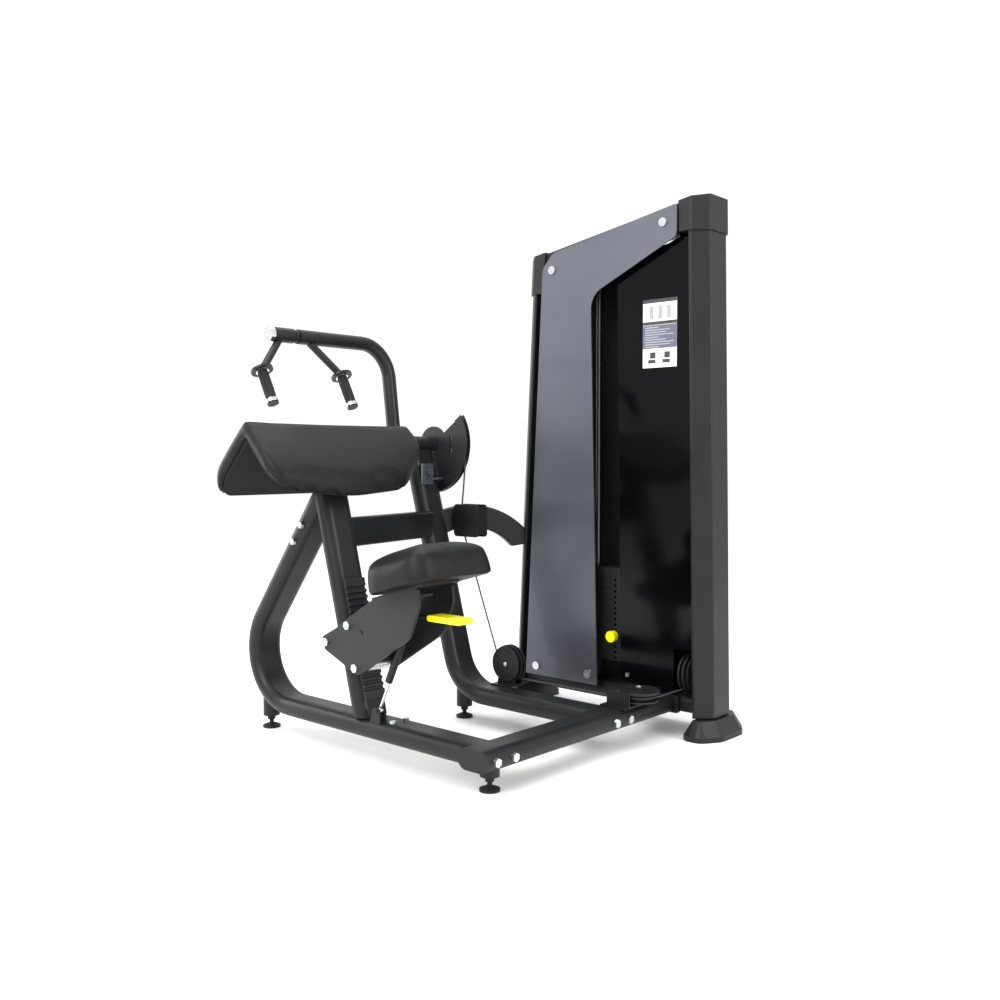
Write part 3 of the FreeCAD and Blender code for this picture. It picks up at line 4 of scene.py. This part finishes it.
import bmesh
import bpy
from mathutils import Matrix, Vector


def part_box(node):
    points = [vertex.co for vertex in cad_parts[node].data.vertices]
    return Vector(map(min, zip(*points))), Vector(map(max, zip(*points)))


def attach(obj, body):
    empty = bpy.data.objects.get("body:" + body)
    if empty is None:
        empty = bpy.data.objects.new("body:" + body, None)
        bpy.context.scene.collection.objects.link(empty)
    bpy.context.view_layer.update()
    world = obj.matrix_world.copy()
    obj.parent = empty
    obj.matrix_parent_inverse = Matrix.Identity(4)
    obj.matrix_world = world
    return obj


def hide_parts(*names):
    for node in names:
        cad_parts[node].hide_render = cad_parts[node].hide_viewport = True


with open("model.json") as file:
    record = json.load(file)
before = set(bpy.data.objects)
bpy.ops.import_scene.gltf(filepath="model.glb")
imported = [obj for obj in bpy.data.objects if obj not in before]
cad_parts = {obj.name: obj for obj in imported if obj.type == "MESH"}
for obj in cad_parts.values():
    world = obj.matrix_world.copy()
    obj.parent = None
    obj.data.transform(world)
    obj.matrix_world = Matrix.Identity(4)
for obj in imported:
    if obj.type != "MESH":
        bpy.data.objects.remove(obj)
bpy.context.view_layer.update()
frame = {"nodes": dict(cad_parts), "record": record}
NODES = frame["nodes"]


# ---- materials --------------------------------------------------------------------------------

COAT_ROUGHNESS = 0.12
# Sockets of the colour Mix node, which have no names of their own.
MIX_FACTOR, MIX_A, MIX_B, MIX_RESULT = 0, 6, 7, 2
# Painted shade: the tower's panel is painted darkest at the first height and lightest at the
# second.
PANEL_SHADE_HEIGHTS = (0.1, 1.3)


def new_material(name, color, roughness, metallic=0.0, coat=0.0, specular=0.5, sheen=0.0):
    """A principled material with its constant values set on the shader's own sockets."""
    material = bpy.data.materials.new(name)
    material.use_nodes = True
    shader = material.node_tree.nodes["Principled BSDF"]
    shader.inputs["Base Color"].default_value = (*color, 1.0)
    shader.inputs["Roughness"].default_value = roughness
    shader.inputs["Metallic"].default_value = metallic
    shader.inputs["Coat Weight"].default_value = coat
    shader.inputs["Coat Roughness"].default_value = COAT_ROUGHNESS
    shader.inputs["Specular IOR Level"].default_value = specular
    shader.inputs["Sheen Weight"].default_value = sheen
    return material, shader


def noise(material, scale, detail=4.0, stretch=(1.0, 1.0, 1.0)):
    """A noise texture in the object's own coordinates."""
    tree = material.node_tree
    place = tree.nodes.new("ShaderNodeTexCoord")
    mapping = tree.nodes.new("ShaderNodeMapping")
    mapping.inputs["Scale"].default_value = stretch
    texture = tree.nodes.new("ShaderNodeTexNoise")
    texture.inputs["Scale"].default_value = scale
    texture.inputs["Detail"].default_value = detail
    tree.links.new(place.outputs["Object"], mapping.inputs["Vector"])
    tree.links.new(mapping.outputs["Vector"], texture.inputs["Vector"])
    return texture


def vary_color(material, shader, texture, dark, light):
    """Blend between two colours by a texture."""
    tree = material.node_tree
    ramp = tree.nodes.new("ShaderNodeValToRGB")
    ramp.color_ramp.elements[0].position = 0.35
    ramp.color_ramp.elements[0].color = (*dark, 1.0)
    ramp.color_ramp.elements[1].position = 0.68
    ramp.color_ramp.elements[1].color = (*light, 1.0)
    tree.links.new(texture.outputs["Fac"], ramp.inputs["Fac"])
    tree.links.new(ramp.outputs["Color"], shader.inputs["Base Color"])


def vary_roughness(material, shader, texture, low, high):
    """Let the roughness wander between two values by a texture."""
    tree = material.node_tree
    span = tree.nodes.new("ShaderNodeMapRange")
    span.inputs["From Min"].default_value = 0.3
    span.inputs["From Max"].default_value = 0.7
    span.inputs["To Min"].default_value = low
    span.inputs["To Max"].default_value = high
    tree.links.new(texture.outputs["Fac"], span.inputs["Value"])
    tree.links.new(span.outputs["Result"], shader.inputs["Roughness"])


def add_bump(material, shader, height, strength, distance):
    """Fine relief from a texture's height output."""
    tree = material.node_tree
    bump = tree.nodes.new("ShaderNodeBump")
    bump.inputs["Strength"].default_value = strength
    bump.inputs["Distance"].default_value = distance
    tree.links.new(height, bump.inputs["Height"])
    tree.links.new(bump.outputs["Normal"], shader.inputs["Normal"])


def tint(color, factor):
    """A colour made lighter or darker by a factor."""
    return tuple(min(1.0, channel * factor) for channel in color)


def powder_coat(name, color, roughness=0.36):
    """Satin powder coat: fine orange peel, and a little unevenness in its gloss."""
    material, shader = new_material(name, color, roughness, coat=0.02, specular=0.27)
    broad = noise(material, 9.0)
    vary_color(material, shader, broad, tint(color, 0.9), tint(color, 1.15))
    vary_roughness(material, shader, broad, roughness - 0.05, roughness + 0.07)
    add_bump(material, shader, noise(material, 420.0, 2.0).outputs["Fac"], 0.1, 0.0006)
    return material


def moulded_plastic(name, color, roughness, grain=900.0, coat=0.0, specular=0.5):
    """Moulded plastic with a fine grain."""
    material, shader = new_material(name, color, roughness, coat=coat, specular=specular)
    broad = noise(material, 6.0)
    vary_color(material, shader, broad, tint(color, 0.93), tint(color, 1.08))
    vary_roughness(material, shader, broad, roughness - 0.04, roughness + 0.05)
    add_bump(material, shader, noise(material, grain, 3.0).outputs["Fac"], 0.07, 0.0004)
    return material


def machined_metal(name, color, roughness, stretch=(1.0, 1.0, 30.0)):
    """Bright metal with a fine brushed grain."""
    material, shader = new_material(name, color, roughness, metallic=1.0)
    grain = noise(material, 60.0, 5.0, stretch)
    vary_color(material, shader, grain, tint(color, 0.86), tint(color, 1.05))
    vary_roughness(material, shader, grain, roughness - 0.06, roughness + 0.1)
    add_bump(material, shader, grain.outputs["Fac"], 0.05, 0.0003)
    return material


def metallic_panel(name, color):
    """Blue-grey metallic lacquer with tiny flakes, and painted shade that makes it a little darker
    towards the floor.
    """
    material, shader = new_material(name, color, 0.34, metallic=0.55, coat=0.25)
    tree = material.node_tree
    flakes = noise(material, 2400.0, 2.0)
    place = tree.nodes.new("ShaderNodeTexCoord")
    split = tree.nodes.new("ShaderNodeSeparateXYZ")
    # Painted shade: the lacquer's colour is mixed darker towards the floor and lighter higher up.
    painted_shade = tree.nodes.new("ShaderNodeMapRange")
    painted_shade.inputs["From Min"].default_value = PANEL_SHADE_HEIGHTS[0]
    painted_shade.inputs["From Max"].default_value = PANEL_SHADE_HEIGHTS[1]
    ramp = tree.nodes.new("ShaderNodeMix")
    ramp.data_type = "RGBA"
    ramp.inputs[MIX_A].default_value = (*tint(color, 0.72), 1.0)
    ramp.inputs[MIX_B].default_value = (*tint(color, 1.12), 1.0)
    speckle = tree.nodes.new("ShaderNodeMix")
    speckle.data_type = "RGBA"
    speckle.blend_type = "SOFT_LIGHT"
    speckle.inputs[MIX_FACTOR].default_value = 0.16
    tree.links.new(place.outputs["Object"], split.inputs["Vector"])
    tree.links.new(split.outputs["Z"], painted_shade.inputs["Value"])
    tree.links.new(painted_shade.outputs["Result"], ramp.inputs[MIX_FACTOR])
    tree.links.new(ramp.outputs[MIX_RESULT], speckle.inputs[MIX_A])
    tree.links.new(flakes.outputs["Color"], speckle.inputs[MIX_B])
    tree.links.new(speckle.outputs[MIX_RESULT], shader.inputs["Base Color"])
    vary_roughness(material, shader, noise(material, 5.0), 0.3, 0.4)
    return material


def vinyl(name, color):
    """Smooth upholstery vinyl with a pebbled leather grain."""
    material, shader = new_material(name, color, 0.46, specular=0.2)
    tree = material.node_tree
    cells = tree.nodes.new("ShaderNodeTexVoronoi")
    cells.feature = "DISTANCE_TO_EDGE"
    cells.inputs["Scale"].default_value = 520.0
    place = tree.nodes.new("ShaderNodeTexCoord")
    tree.links.new(place.outputs["Object"], cells.inputs["Vector"])
    soft = noise(material, 14.0)
    vary_color(material, shader, soft, tint(color, 0.85), tint(color, 1.2))
    vary_roughness(material, shader, soft, 0.42, 0.54)
    add_bump(material, shader, cells.outputs["Distance"], 0.22, 0.0006)
    return material


MATERIALS = {
    "black_frame": powder_coat("frame_coat", (0.0085, 0.0085, 0.0092), 0.40),
    "side_grey": powder_coat("side_plate_coat", (0.015, 0.015, 0.0165), 0.45),
    "grey_panel": metallic_panel("panel_lacquer", (0.098, 0.104, 0.127)),
    "black_gloss": moulded_plastic("gloss_cover", (0.0015, 0.0015, 0.002), 0.10, grain=60.0,
                                   specular=0.14),
    "black_plastic": moulded_plastic("moulded_black", (0.010, 0.010, 0.011), 0.45, specular=0.28),
    "steel": machined_metal("machined_steel", (0.62, 0.63, 0.65), 0.26),
    "chrome_rod": machined_metal("polished_rod", (0.72, 0.73, 0.75), 0.14),
    "rubber": moulded_plastic("black_rubber", (0.012, 0.012, 0.0125), 0.62, grain=1400.0,
                              specular=0.25),
    "plate_iron": powder_coat("plate_coat", (0.012, 0.012, 0.013), 0.45),
    "upholstery": vinyl("black_vinyl", (0.006, 0.006, 0.0065)),
    "yellow": moulded_plastic("yellow_plastic", (0.95, 0.83, 0.0), 0.38, grain=700.0, coat=0.1),
    "cable_jacket": moulded_plastic("cable_jacket", (0.03, 0.03, 0.032), 0.35, grain=300.0,
                                    coat=0.2),
    "wood_board": moulded_plastic("painted_board", (0.010, 0.0095, 0.009), 0.6, grain=200.0,
                                  specular=0.2),
}
# The guide rods stand in the tower's shade, so they are darker than the other bright rods.
SHADED_ROD = machined_metal("shaded_rod", (0.16, 0.16, 0.17), 0.3)


def paint(obj, material):
    """Give a piece one material all over."""
    obj.data.materials.clear()
    obj.data.materials.append(material)


def smooth_by_angle(obj, degrees):
    """Shade smooth, with an edge kept sharp where its faces turn by more than an angle."""
    mesh = obj.data
    mesh.polygons.foreach_set("use_smooth", [True] * len(mesh.polygons))
    mesh.set_sharp_from_angle(angle=math.radians(degrees))


def finish_nodes():
    """Every carried-over CAD node takes the finish of its material slot."""
    slots = {part["node"]: part["material_slot"] for part in frame["record"]["subparts"]}
    for node, obj in NODES.items():
        finish = SHADED_ROD if node == "guide_rods" else MATERIALS[slots[node]]
        for place in obj.material_slots:
            place.material = finish


# ---- mesh helpers -----------------------------------------------------------------------------

SMOOTH_DEGREES = 32


def add_object(name, bm, body, slot, smooth=SMOOTH_DEGREES):
    """Turn a finished bmesh into a piece on a body, in its slot's material."""
    mesh = bpy.data.meshes.new(name)
    bm.normal_update()
    bm.to_mesh(mesh)
    bm.free()
    obj = bpy.data.objects.new(name, mesh)
    bpy.context.collection.objects.link(obj)
    paint(obj, MATERIALS[slot])
    if smooth:
        smooth_by_angle(obj, smooth)
    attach(obj, body)
    return obj


def node_center(node):
    """The middle of a node's box."""
    low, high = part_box(node)
    return (Vector(low) + Vector(high)) / 2


def bridge(bm, pairs):
    """Join the two rings of each pair with a band of four-sided faces."""
    for first, second in pairs:
        for index, corner in enumerate(first):
            after = (index + 1) % len(first)
            bm.faces.new((corner, first[after], second[after], second[index]))


def lathe(bm, profile, origin, axis, steps=40, closed=False):
    """Turn a profile of (radius, distance) points about an axis; a closed one makes a ring."""
    axis = Vector(axis).normalized()
    side = axis.orthogonal().normalized()
    other = axis.cross(side)
    rings = []
    for radius, along in profile:
        circle = []
        for index in range(steps):
            angle = 2 * math.pi * index / steps
            offset = side * math.cos(angle) * radius + other * math.sin(angle) * radius
            circle.append(bm.verts.new(Vector(origin) + axis * along + offset))
        rings.append(circle)
    bridge(bm, zip(rings, rings[1:] + rings[:1] if closed else rings[1:]))
    if not closed:
        bm.faces.new(reversed(rings[0]))
        bm.faces.new(rings[-1])
    bmesh.ops.recalc_face_normals(bm, faces=bm.faces)


# ---- upholstery -------------------------------------------------------------------------------

VOXEL = 0.006
CLOTH_FRAMES = 18
CLOTH_STIFFNESS = 20
# How far above its base the cover is held, and how far the rest of it may swell.
HELD_HEIGHT = 0.004
SWELL_LIMIT = 0.004


def apply_modifiers(obj):
    """Bake a piece's modifiers into its mesh."""
    depsgraph = bpy.context.evaluated_depsgraph_get()
    mesh = bpy.data.meshes.new_from_object(obj.evaluated_get(depsgraph))
    obj.modifiers.clear()
    obj.data = mesh


def relax(obj, iterations):
    """Smooth a piece by a modifier, which apply_modifiers bakes."""
    modifier = obj.modifiers.new("relax", "SMOOTH")
    modifier.factor = 0.5
    modifier.iterations = iterations


def swell(obj, base, pressure):
    """Let the cover swell under pressure for a short while; its base stays where it is."""
    start = [vertex.co.copy() for vertex in obj.data.vertices]
    pinned = obj.vertex_groups.new(name="base")
    pinned.add(base, 1.0, "REPLACE")
    cloth = obj.modifiers.new("cloth", "CLOTH")
    cloth.settings.vertex_group_mass = "base"
    cloth.settings.use_pressure = True
    cloth.settings.uniform_pressure_force = pressure
    cloth.settings.effector_weights.gravity = 0.0
    cloth.settings.quality = 5
    cloth.settings.tension_stiffness = CLOTH_STIFFNESS
    cloth.settings.compression_stiffness = CLOTH_STIFFNESS
    for step in range(CLOTH_FRAMES):
        bpy.context.scene.frame_set(step + 1)
        bpy.context.view_layer.update()
    depsgraph = bpy.context.evaluated_depsgraph_get()
    swollen = obj.evaluated_get(depsgraph).to_mesh()
    for index, vertex in enumerate(swollen.vertices):
        move = vertex.co - start[index]
        if move.length > SWELL_LIMIT:
            move *= SWELL_LIMIT / move.length
        obj.data.vertices[index].co = start[index] + move
    obj.modifiers.clear()
    obj.vertex_groups.clear()
    bpy.context.scene.frame_set(1)


def upholster(node, name, shape, below, base_normal, soften, pressure):
    """Foam under vinyl: a rounded form, a little swollen by its foam, over a flat base.

    shape moves each point of the remeshed CAD solid. below tells how far a point lies beyond
    the base, and base_normal which way that is.
    """
    obj = bpy.data.objects.new(name, NODES[node].data.copy())
    bpy.context.collection.objects.link(obj)
    remesh = obj.modifiers.new("remesh", "REMESH")
    remesh.mode = "VOXEL"
    remesh.voxel_size = VOXEL
    apply_modifiers(obj)
    for vertex in obj.data.vertices:
        vertex.co = shape(vertex.co)
    relax(obj, soften)
    apply_modifiers(obj)
    base = [vertex.index for vertex in obj.data.vertices if below(vertex.co) > -HELD_HEIGHT]
    swell(obj, base, pressure)
    relax(obj, 5)
    finer = obj.modifiers.new("finer", "SUBSURF")
    finer.levels = 1
    finer.render_levels = 1
    apply_modifiers(obj)
    for vertex in obj.data.vertices:
        vertex.co -= base_normal(vertex.co) * max(0.0, below(vertex.co))
    obj.data.polygons.foreach_set("use_smooth", [True] * len(obj.data.polygons))
    paint(obj, MATERIALS["upholstery"])
    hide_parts(node)
    return obj


SEAT_LEAN = math.radians(15.4)
SEAT_UP = Vector((-math.sin(SEAT_LEAN), 0, math.cos(SEAT_LEAN)))
SEAT_FORWARD = Vector((math.cos(SEAT_LEAN), 0, math.sin(SEAT_LEAN)))
# The crowned seat against its CAD solid: longer, wider and higher in the middle.
SEAT_LONGER, SEAT_WIDER, SEAT_HIGHER = 1.04, 1.07, 1.14
# How much the top falls away at the rim, and how much it is drawn in there.
SEAT_FALL, SEAT_DRAWN_IN = 0.36, 0.15
PAD_THICKNESS = 0.030
# Length of a pad face from ridge to rim along the floor, and how far its middle is puffed.
PAD_REACH = 0.148
PAD_PUFF = 0.004


def node_span(node, direction):
    """The least and greatest distance of a node's corners along a direction."""
    reach = [vertex.co.dot(direction) for vertex in NODES[node].data.vertices]
    return min(reach), max(reach)


def make_seat():
    """The seat cushion, crowned over its flat base, its top drawn in on every side."""
    bottom, top = node_span("seat_cushion", SEAT_UP)
    back, front = node_span("seat_cushion", SEAT_FORWARD)
    near, far = node_span("seat_cushion", Vector((0, 1, 0)))
    middle_u = (back + front) / 2
    middle_y = (near + far) / 2
    half_u = (front - back) / 2
    half_y = (far - near) / 2

    def crown(point):
        u = point.dot(SEAT_FORWARD) - middle_u
        y = point.y - middle_y
        height = max(0.0, (point.dot(SEAT_UP) - bottom) / (top - bottom))
        edge = max(abs(u) / half_u, abs(y) / half_y)
        lift = height * (1 - SEAT_FALL * min(1.0, edge) ** 3.5)
        inward = 1 - SEAT_DRAWN_IN * lift ** 2.5
        place_u = middle_u + u * SEAT_LONGER * inward
        place_y = middle_y + y * SEAT_WIDER * inward
        up = bottom + lift * (top - bottom) * SEAT_HIGHER
        return SEAT_FORWARD * place_u + SEAT_UP * up + Vector((0, place_y, 0))

    def below(point):
        return bottom - point.dot(SEAT_UP)

    def base_normal(_point):
        return -SEAT_UP

    seat = upholster("seat_cushion", "seat_upholstery", crown, below, base_normal,
                     soften=8, pressure=3.0)
    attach(seat, "seat")


def make_arm_pad():
    """The roof-shaped pad; its underside stays flat on the board."""
    ridge = max(NODES["arm_pad"].data.vertices, key=lambda vertex: vertex.co.z).co.copy()

    def depth(point):
        """How far a point lies below the pad's upper faces, measured square to them."""
        return (ridge.z - abs(point.x - ridge.x) - point.z) / math.sqrt(2)

    def round_off(point):
        """Raise the panels' middles a little, so that the faces are gently puffed."""
        slope = abs(point.x - ridge.x) / PAD_REACH
        above = 1 - min(1.0, max(0.0, depth(point)) / PAD_THICKNESS)
        puff = PAD_PUFF * above * math.sin(math.pi * min(1.0, slope))
        side = 1 if point.x > ridge.x else -1
        return point + Vector((side, 0, 1)) * (puff / math.sqrt(2))

    def below(point):
        return depth(point) - PAD_THICKNESS

    def base_normal(point):
        side = 1 if point.x > ridge.x else -1
        return Vector((-side, 0, -1)).normalized()

    pad = upholster("arm_pad", "arm_pad_upholstery", round_off, below, base_normal,
                    soften=14, pressure=0.5)
    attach(pad, "frame")


# ---- grips ------------------------------------------------------------------------------------

GRIP_LEAN = math.radians(28.4)
GRIP_DOWN = Vector((math.sin(GRIP_LEAN), 0, -math.cos(GRIP_LEAN)))
GRIP_HALF = 0.041
RIBS = 28
RIB_HEIGHT = 0.0005
GRIP_STEPS = RIBS * 6
# Distance from the grip's nearer end, radius, and share of the ribs' height.
GRIP_END = [(0.0, 0.0118, 0.0), (0.0012, 0.0134, 0.0), (0.005, 0.0134, 0.0),
            (0.007, 0.0134, 0.6), (0.010, 0.0134, 1.0)]
GRIP_MIDDLE_RADIUS = 0.0136
# Profiles of (radius, distance) for the bright rings at the grip's two ends.
END_RING = [(0.0142, 0.0), (0.0158, 0.0008), (0.0158, 0.0085), (0.0150, 0.0095),
            (0.0128, 0.0097)]
FLANGE_RING = [(0.0150, -0.0004), (0.0172, 0.0), (0.0172, 0.0016), (0.0150, 0.0022)]


def make_grip(side):
    """A ribbed rubber grip between its flange and a bright end ring."""
    centre = node_center(side + "_grip")
    body = side + "_grip_arm"
    bm = bmesh.new()
    side_axis = GRIP_DOWN.orthogonal().normalized()
    other = GRIP_DOWN.cross(side_axis)
    stations = [(from_end - GRIP_HALF, radius, depth) for from_end, radius, depth in GRIP_END]
    stations.append((0.0, GRIP_MIDDLE_RADIUS, 1.0))
    stations += [(GRIP_HALF - from_end, radius, depth)
                 for from_end, radius, depth in reversed(GRIP_END)]
    rings = []
    for along, radius, depth in stations:
        circle = []
        for index in range(GRIP_STEPS):
            angle = 2 * math.pi * index / GRIP_STEPS
            wave = RIB_HEIGHT * depth * math.cos(angle * RIBS)
            offset = (side_axis * math.cos(angle) + other * math.sin(angle)) * (radius + wave)
            circle.append(bm.verts.new(centre + GRIP_DOWN * along + offset))
        rings.append(circle)
    bridge(bm, zip(rings, rings[1:]))
    bm.faces.new(rings[0])
    bm.faces.new(reversed(rings[-1]))
    bmesh.ops.recalc_face_normals(bm, faces=bm.faces)
    grip = add_object(side + "_grip_ribbed", bm, body, "rubber", 40)
    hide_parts(side + "_grip")
    bm = bmesh.new()
    lathe(bm, END_RING, centre + GRIP_DOWN * (GRIP_HALF + 0.0006), GRIP_DOWN)
    add_object(side + "_grip_ring", bm, body, "chrome_rod")
    bm = bmesh.new()
    lathe(bm, FLANGE_RING, centre - GRIP_DOWN * (GRIP_HALF + 0.0005), GRIP_DOWN)
    add_object(side + "_flange_ring", bm, body, "chrome_rod")


# ---- pulley covers ----------------------------------------------------------------------------

COVER_STEPS = 72
# Profiles of (radius, distance along the pulley's axis); each closes into a ring.
LOOP_DISC = [(0.0068, 0.0), (0.0500, 0.0), (0.0500, 0.0022), (0.0485, 0.0036),
             (0.0440, 0.0036), (0.0430, 0.0028), (0.0068, 0.0028)]
FLAT_DISC = [(0.0204, 0.0), (0.0540, 0.0), (0.0540, -0.0030), (0.0560, -0.0030),
             (0.0560, 0.0018), (0.0545, 0.0032), (0.0500, 0.0032), (0.0490, 0.0026),
             (0.0204, 0.0026)]
FOOT_DISC = [(0.0068, 0.0), (0.0500, 0.0), (0.0500, 0.0022), (0.0485, 0.0030),
             (0.0068, 0.0030)]
# Node, outward axis, gap to the disc, its profile, and the screw's (distance, radius) if any.
COVERS = [
    ("loop_pulley", Vector((0, -1, 0)), 0.0176, LOOP_DISC, (0.0030, 0.0062)),
    ("flat_pulley", Vector((0, 0, 1)), 0.0156, FLAT_DISC, (0.0106, 0.0070)),
    ("foot_pulley", Vector((1, 0, 0)), 0.0176, FOOT_DISC, None),
]


def screw(place, axis, name, radius):
    """A domed bright screw head with a recessed middle."""
    bm = bmesh.new()
    lathe(bm, [(radius, 0.0), (radius, 0.0010), (radius * 0.86, 0.0022), (radius * 0.45, 0.0026),
               (radius * 0.42, 0.0014)], place, axis, 32)
    add_object(name, bm, "frame", "steel")


def make_pulley_covers():
    """A cover disc on the open side of each pulley that shows, two of them with a screw."""
    for node, axis, gap, profile, head in COVERS:
        middle = node_center(node) + axis * gap
        bm = bmesh.new()
        lathe(bm, profile, middle, axis, COVER_STEPS, True)
        add_object(node + "_cover", bm, "frame", "black_plastic")
        if head:
            screw(middle + axis * head[0], axis, node + "_screw", head[1])


# ---- cable above the stack --------------------------------------------------------------------

CABLE_STEPS = 24
# The still length is this much thinner, so that the moving one slides over it.
CABLE_INSET = 0.0004


def cable_length(name, body, centre, radius, low, high):
    """An upright length of jacketed cable with slightly rounded ends."""
    bm = bmesh.new()
    tip = radius * 0.3
    lathe(bm, [(radius - tip, 0.0), (radius, tip), (radius, high - low - tip),
               (radius - tip, high - low)], (centre.x, centre.y, low), (0, 0, 1), CABLE_STEPS)
    return add_object(name, bm, body, "cable_jacket")


def make_stack_cable():
    """The cable above the stack in two lengths, so that the moving one ends at its pulley.

    The moving length rises with the plates; the upper one stays at the pulley, inside it.
    """
    low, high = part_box("stack_cable")
    centre = node_center("stack_cable")
    joints = frame["record"]["behaviour"]["joints"]
    travel = next(joint["range_m"][1] for joint in joints if joint["name"] == "stack_lift")
    radius = (high[0] - low[0]) / 2
    split = high[2] - travel
    moving = cable_length("moving_cable", "stack", centre, radius, low[2], split)
    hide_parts("stack_cable")
    cable_length("pulley_cable", "frame", centre, radius - CABLE_INSET, split, high[2])


# ---- placard ----------------------------------------------------------------------------------

CARD_EDGES = (0.286, 0.395, 0.998, 1.184)
CARD_DEPTH = 0.0012
INK_DEPTH = 0.0003


def slab(bm, left, right, low, high, face, depth):
    """A thin upright slab, its front face towards the user, its edges slightly bevelled."""
    bevel = 0.4 * depth
    outline = []
    for inset, y in ((0.0, face), (0.0, face - depth + bevel), (bevel, face - depth)):
        outline.append([bm.verts.new((left + inset, y, low + inset)),
                        bm.verts.new((right - inset, y, low + inset)),
                        bm.verts.new((right - inset, y, high - inset)),
                        bm.verts.new((left + inset, y, high - inset))])
    bridge(bm, zip(outline, outline[1:]))
    bm.faces.new(outline[-1])
    bm.faces.new(reversed(outline[0]))


def placard_piece(name, material, slabs):
    """One piece of the card from several slabs, each (left, right, low, high, face, depth)."""
    bm = bmesh.new()
    for edges in slabs:
        slab(bm, *edges)
    bmesh.ops.recalc_face_normals(bm, faces=bm.faces)
    paint(add_object(name, bm, "frame", "grey_panel", smooth=0), material)


def make_placard():
    """A plain instruction card on the dark panel: bands and bars stand for its contents."""
    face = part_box("dark_panel")[0][1]
    left, right, low, high = CARD_EDGES
    card = face - 0.0001
    ink = card - CARD_DEPTH
    tall = high - low
    paper = moulded_plastic("placard_paper", (0.83, 0.83, 0.83), 0.5, 500.0)
    dark = moulded_plastic("placard_ink", (0.03, 0.03, 0.032), 0.5, 500.0)
    blue = moulded_plastic("placard_field", (0.10, 0.107, 0.15), 0.5, 500.0)
    pale = moulded_plastic("placard_bars", (0.3, 0.31, 0.34), 0.5, 500.0)
    placard_piece("placard_card", paper, [(left, right, low, high, card, CARD_DEPTH)])
    bands = [(left, right, high - 0.055 * tall, high, ink, INK_DEPTH),
             (left, right, high - 0.375 * tall, high - 0.325 * tall, ink, INK_DEPTH)]
    for column in range(2):
        start = left + 0.018 + column * 0.046
        bands.append((start, start + 0.024, low + 0.012, low + 0.022, ink, INK_DEPTH))
        bands.append((start + 0.006, start + 0.024, low + 0.025, low + 0.042, ink, INK_DEPTH))
    placard_piece("placard_bands", dark, bands)
    field_low = high - 0.72 * tall
    placard_piece("placard_field", blue,
                  [(left, right, field_low, high - 0.38 * tall, ink, INK_DEPTH)])
    bars = []
    # Nine uneven lines for the wording, then three uprights for the figures above it.
    for row in range(9):
        level = high - 0.405 * tall - row * 0.0066
        length = 0.045 if row % 4 == 0 else 0.092 - 0.012 * (row % 3)
        bars.append((left + 0.008, left + 0.008 + length, level - 0.0030, level,
                     ink - 0.0004, INK_DEPTH))
    for column in range(3):
        start = left + 0.022 + column * 0.028
        bars.append((start, start + 0.012, high - 0.29 * tall, high - 0.10 * tall, ink, INK_DEPTH))
    placard_piece("placard_bars", pale, bars)


# ---- stage ------------------------------------------------------------------------------------

WORLD_STRENGTH = 1.08
FLOOR_SHADE = 0.92
# Name, place, target, size and power of each soft light.
LIGHTS = [
    ("key", (0.4, -3.6, 3.0), (0.0, 0.0, 0.7), (2.4, 2.0), 150),
    ("side", (4.0, 0.6, 2.2), (0.0, 0.0, 0.7), (1.6, 2.6), 90),
    ("top", (-0.6, 0.2, 4.2), (0.0, 0.0, 0.5), (3.0, 3.0), 90),
    ("left", (-3.6, -1.4, 1.6), (0.0, 0.0, 0.7), (1.4, 2.4), 60),
]
CAMERA_PLACE = (1.9051, -1.9941, 0.754)
CAMERA_FORWARD = Vector((-0.6696, 0.7415, -0.04175))
LENS, SENSOR_WIDTH = 37.04, 36.0


def make_stage():
    """A pale floor in even white surroundings."""
    bpy.ops.mesh.primitive_plane_add(size=60)
    floor = bpy.context.object
    floor.name = "floor"
    floor_material, _ = new_material("pale_floor", (FLOOR_SHADE,) * 3, 0.8)
    floor.data.materials.append(floor_material)
    bpy.context.scene.view_settings.view_transform = "Standard"
    world = bpy.data.worlds.new("studio")
    bpy.context.scene.world = world
    world.use_nodes = True
    background = world.node_tree.nodes["Background"]
    background.inputs["Color"].default_value = (1.0, 1.0, 1.0, 1.0)
    background.inputs["Strength"].default_value = WORLD_STRENGTH


def add_light(name, place, target, size, power):
    """A rectangular light aimed at a point."""
    data = bpy.data.lights.new(name, "AREA")
    data.shape = "RECTANGLE"
    data.size = size[0]
    data.size_y = size[1]
    data.energy = power
    light = bpy.data.objects.new(name, data)
    bpy.context.collection.objects.link(light)
    aim = Vector(target) - Vector(place)
    light.location = place
    light.rotation_euler = aim.to_track_quat("-Z", "Y").to_euler()


def make_camera():
    """The camera at the photograph's place, solved from its straight edges."""
    data = bpy.data.cameras.new("camera")
    data.lens = LENS
    data.sensor_width = SENSOR_WIDTH
    camera = bpy.data.objects.new("camera", data)
    bpy.context.collection.objects.link(camera)
    camera.location = CAMERA_PLACE
    camera.rotation_euler = CAMERA_FORWARD.to_track_quat("-Z", "Y").to_euler()
    bpy.context.scene.camera = camera


finish_nodes()
make_seat()
make_arm_pad()
for handle in ("near", "far"):
    make_grip(handle)
make_pulley_covers()
make_stack_cable()
make_placard()
make_stage()
for light_spec in LIGHTS:
    add_light(*light_spec)
make_camera()
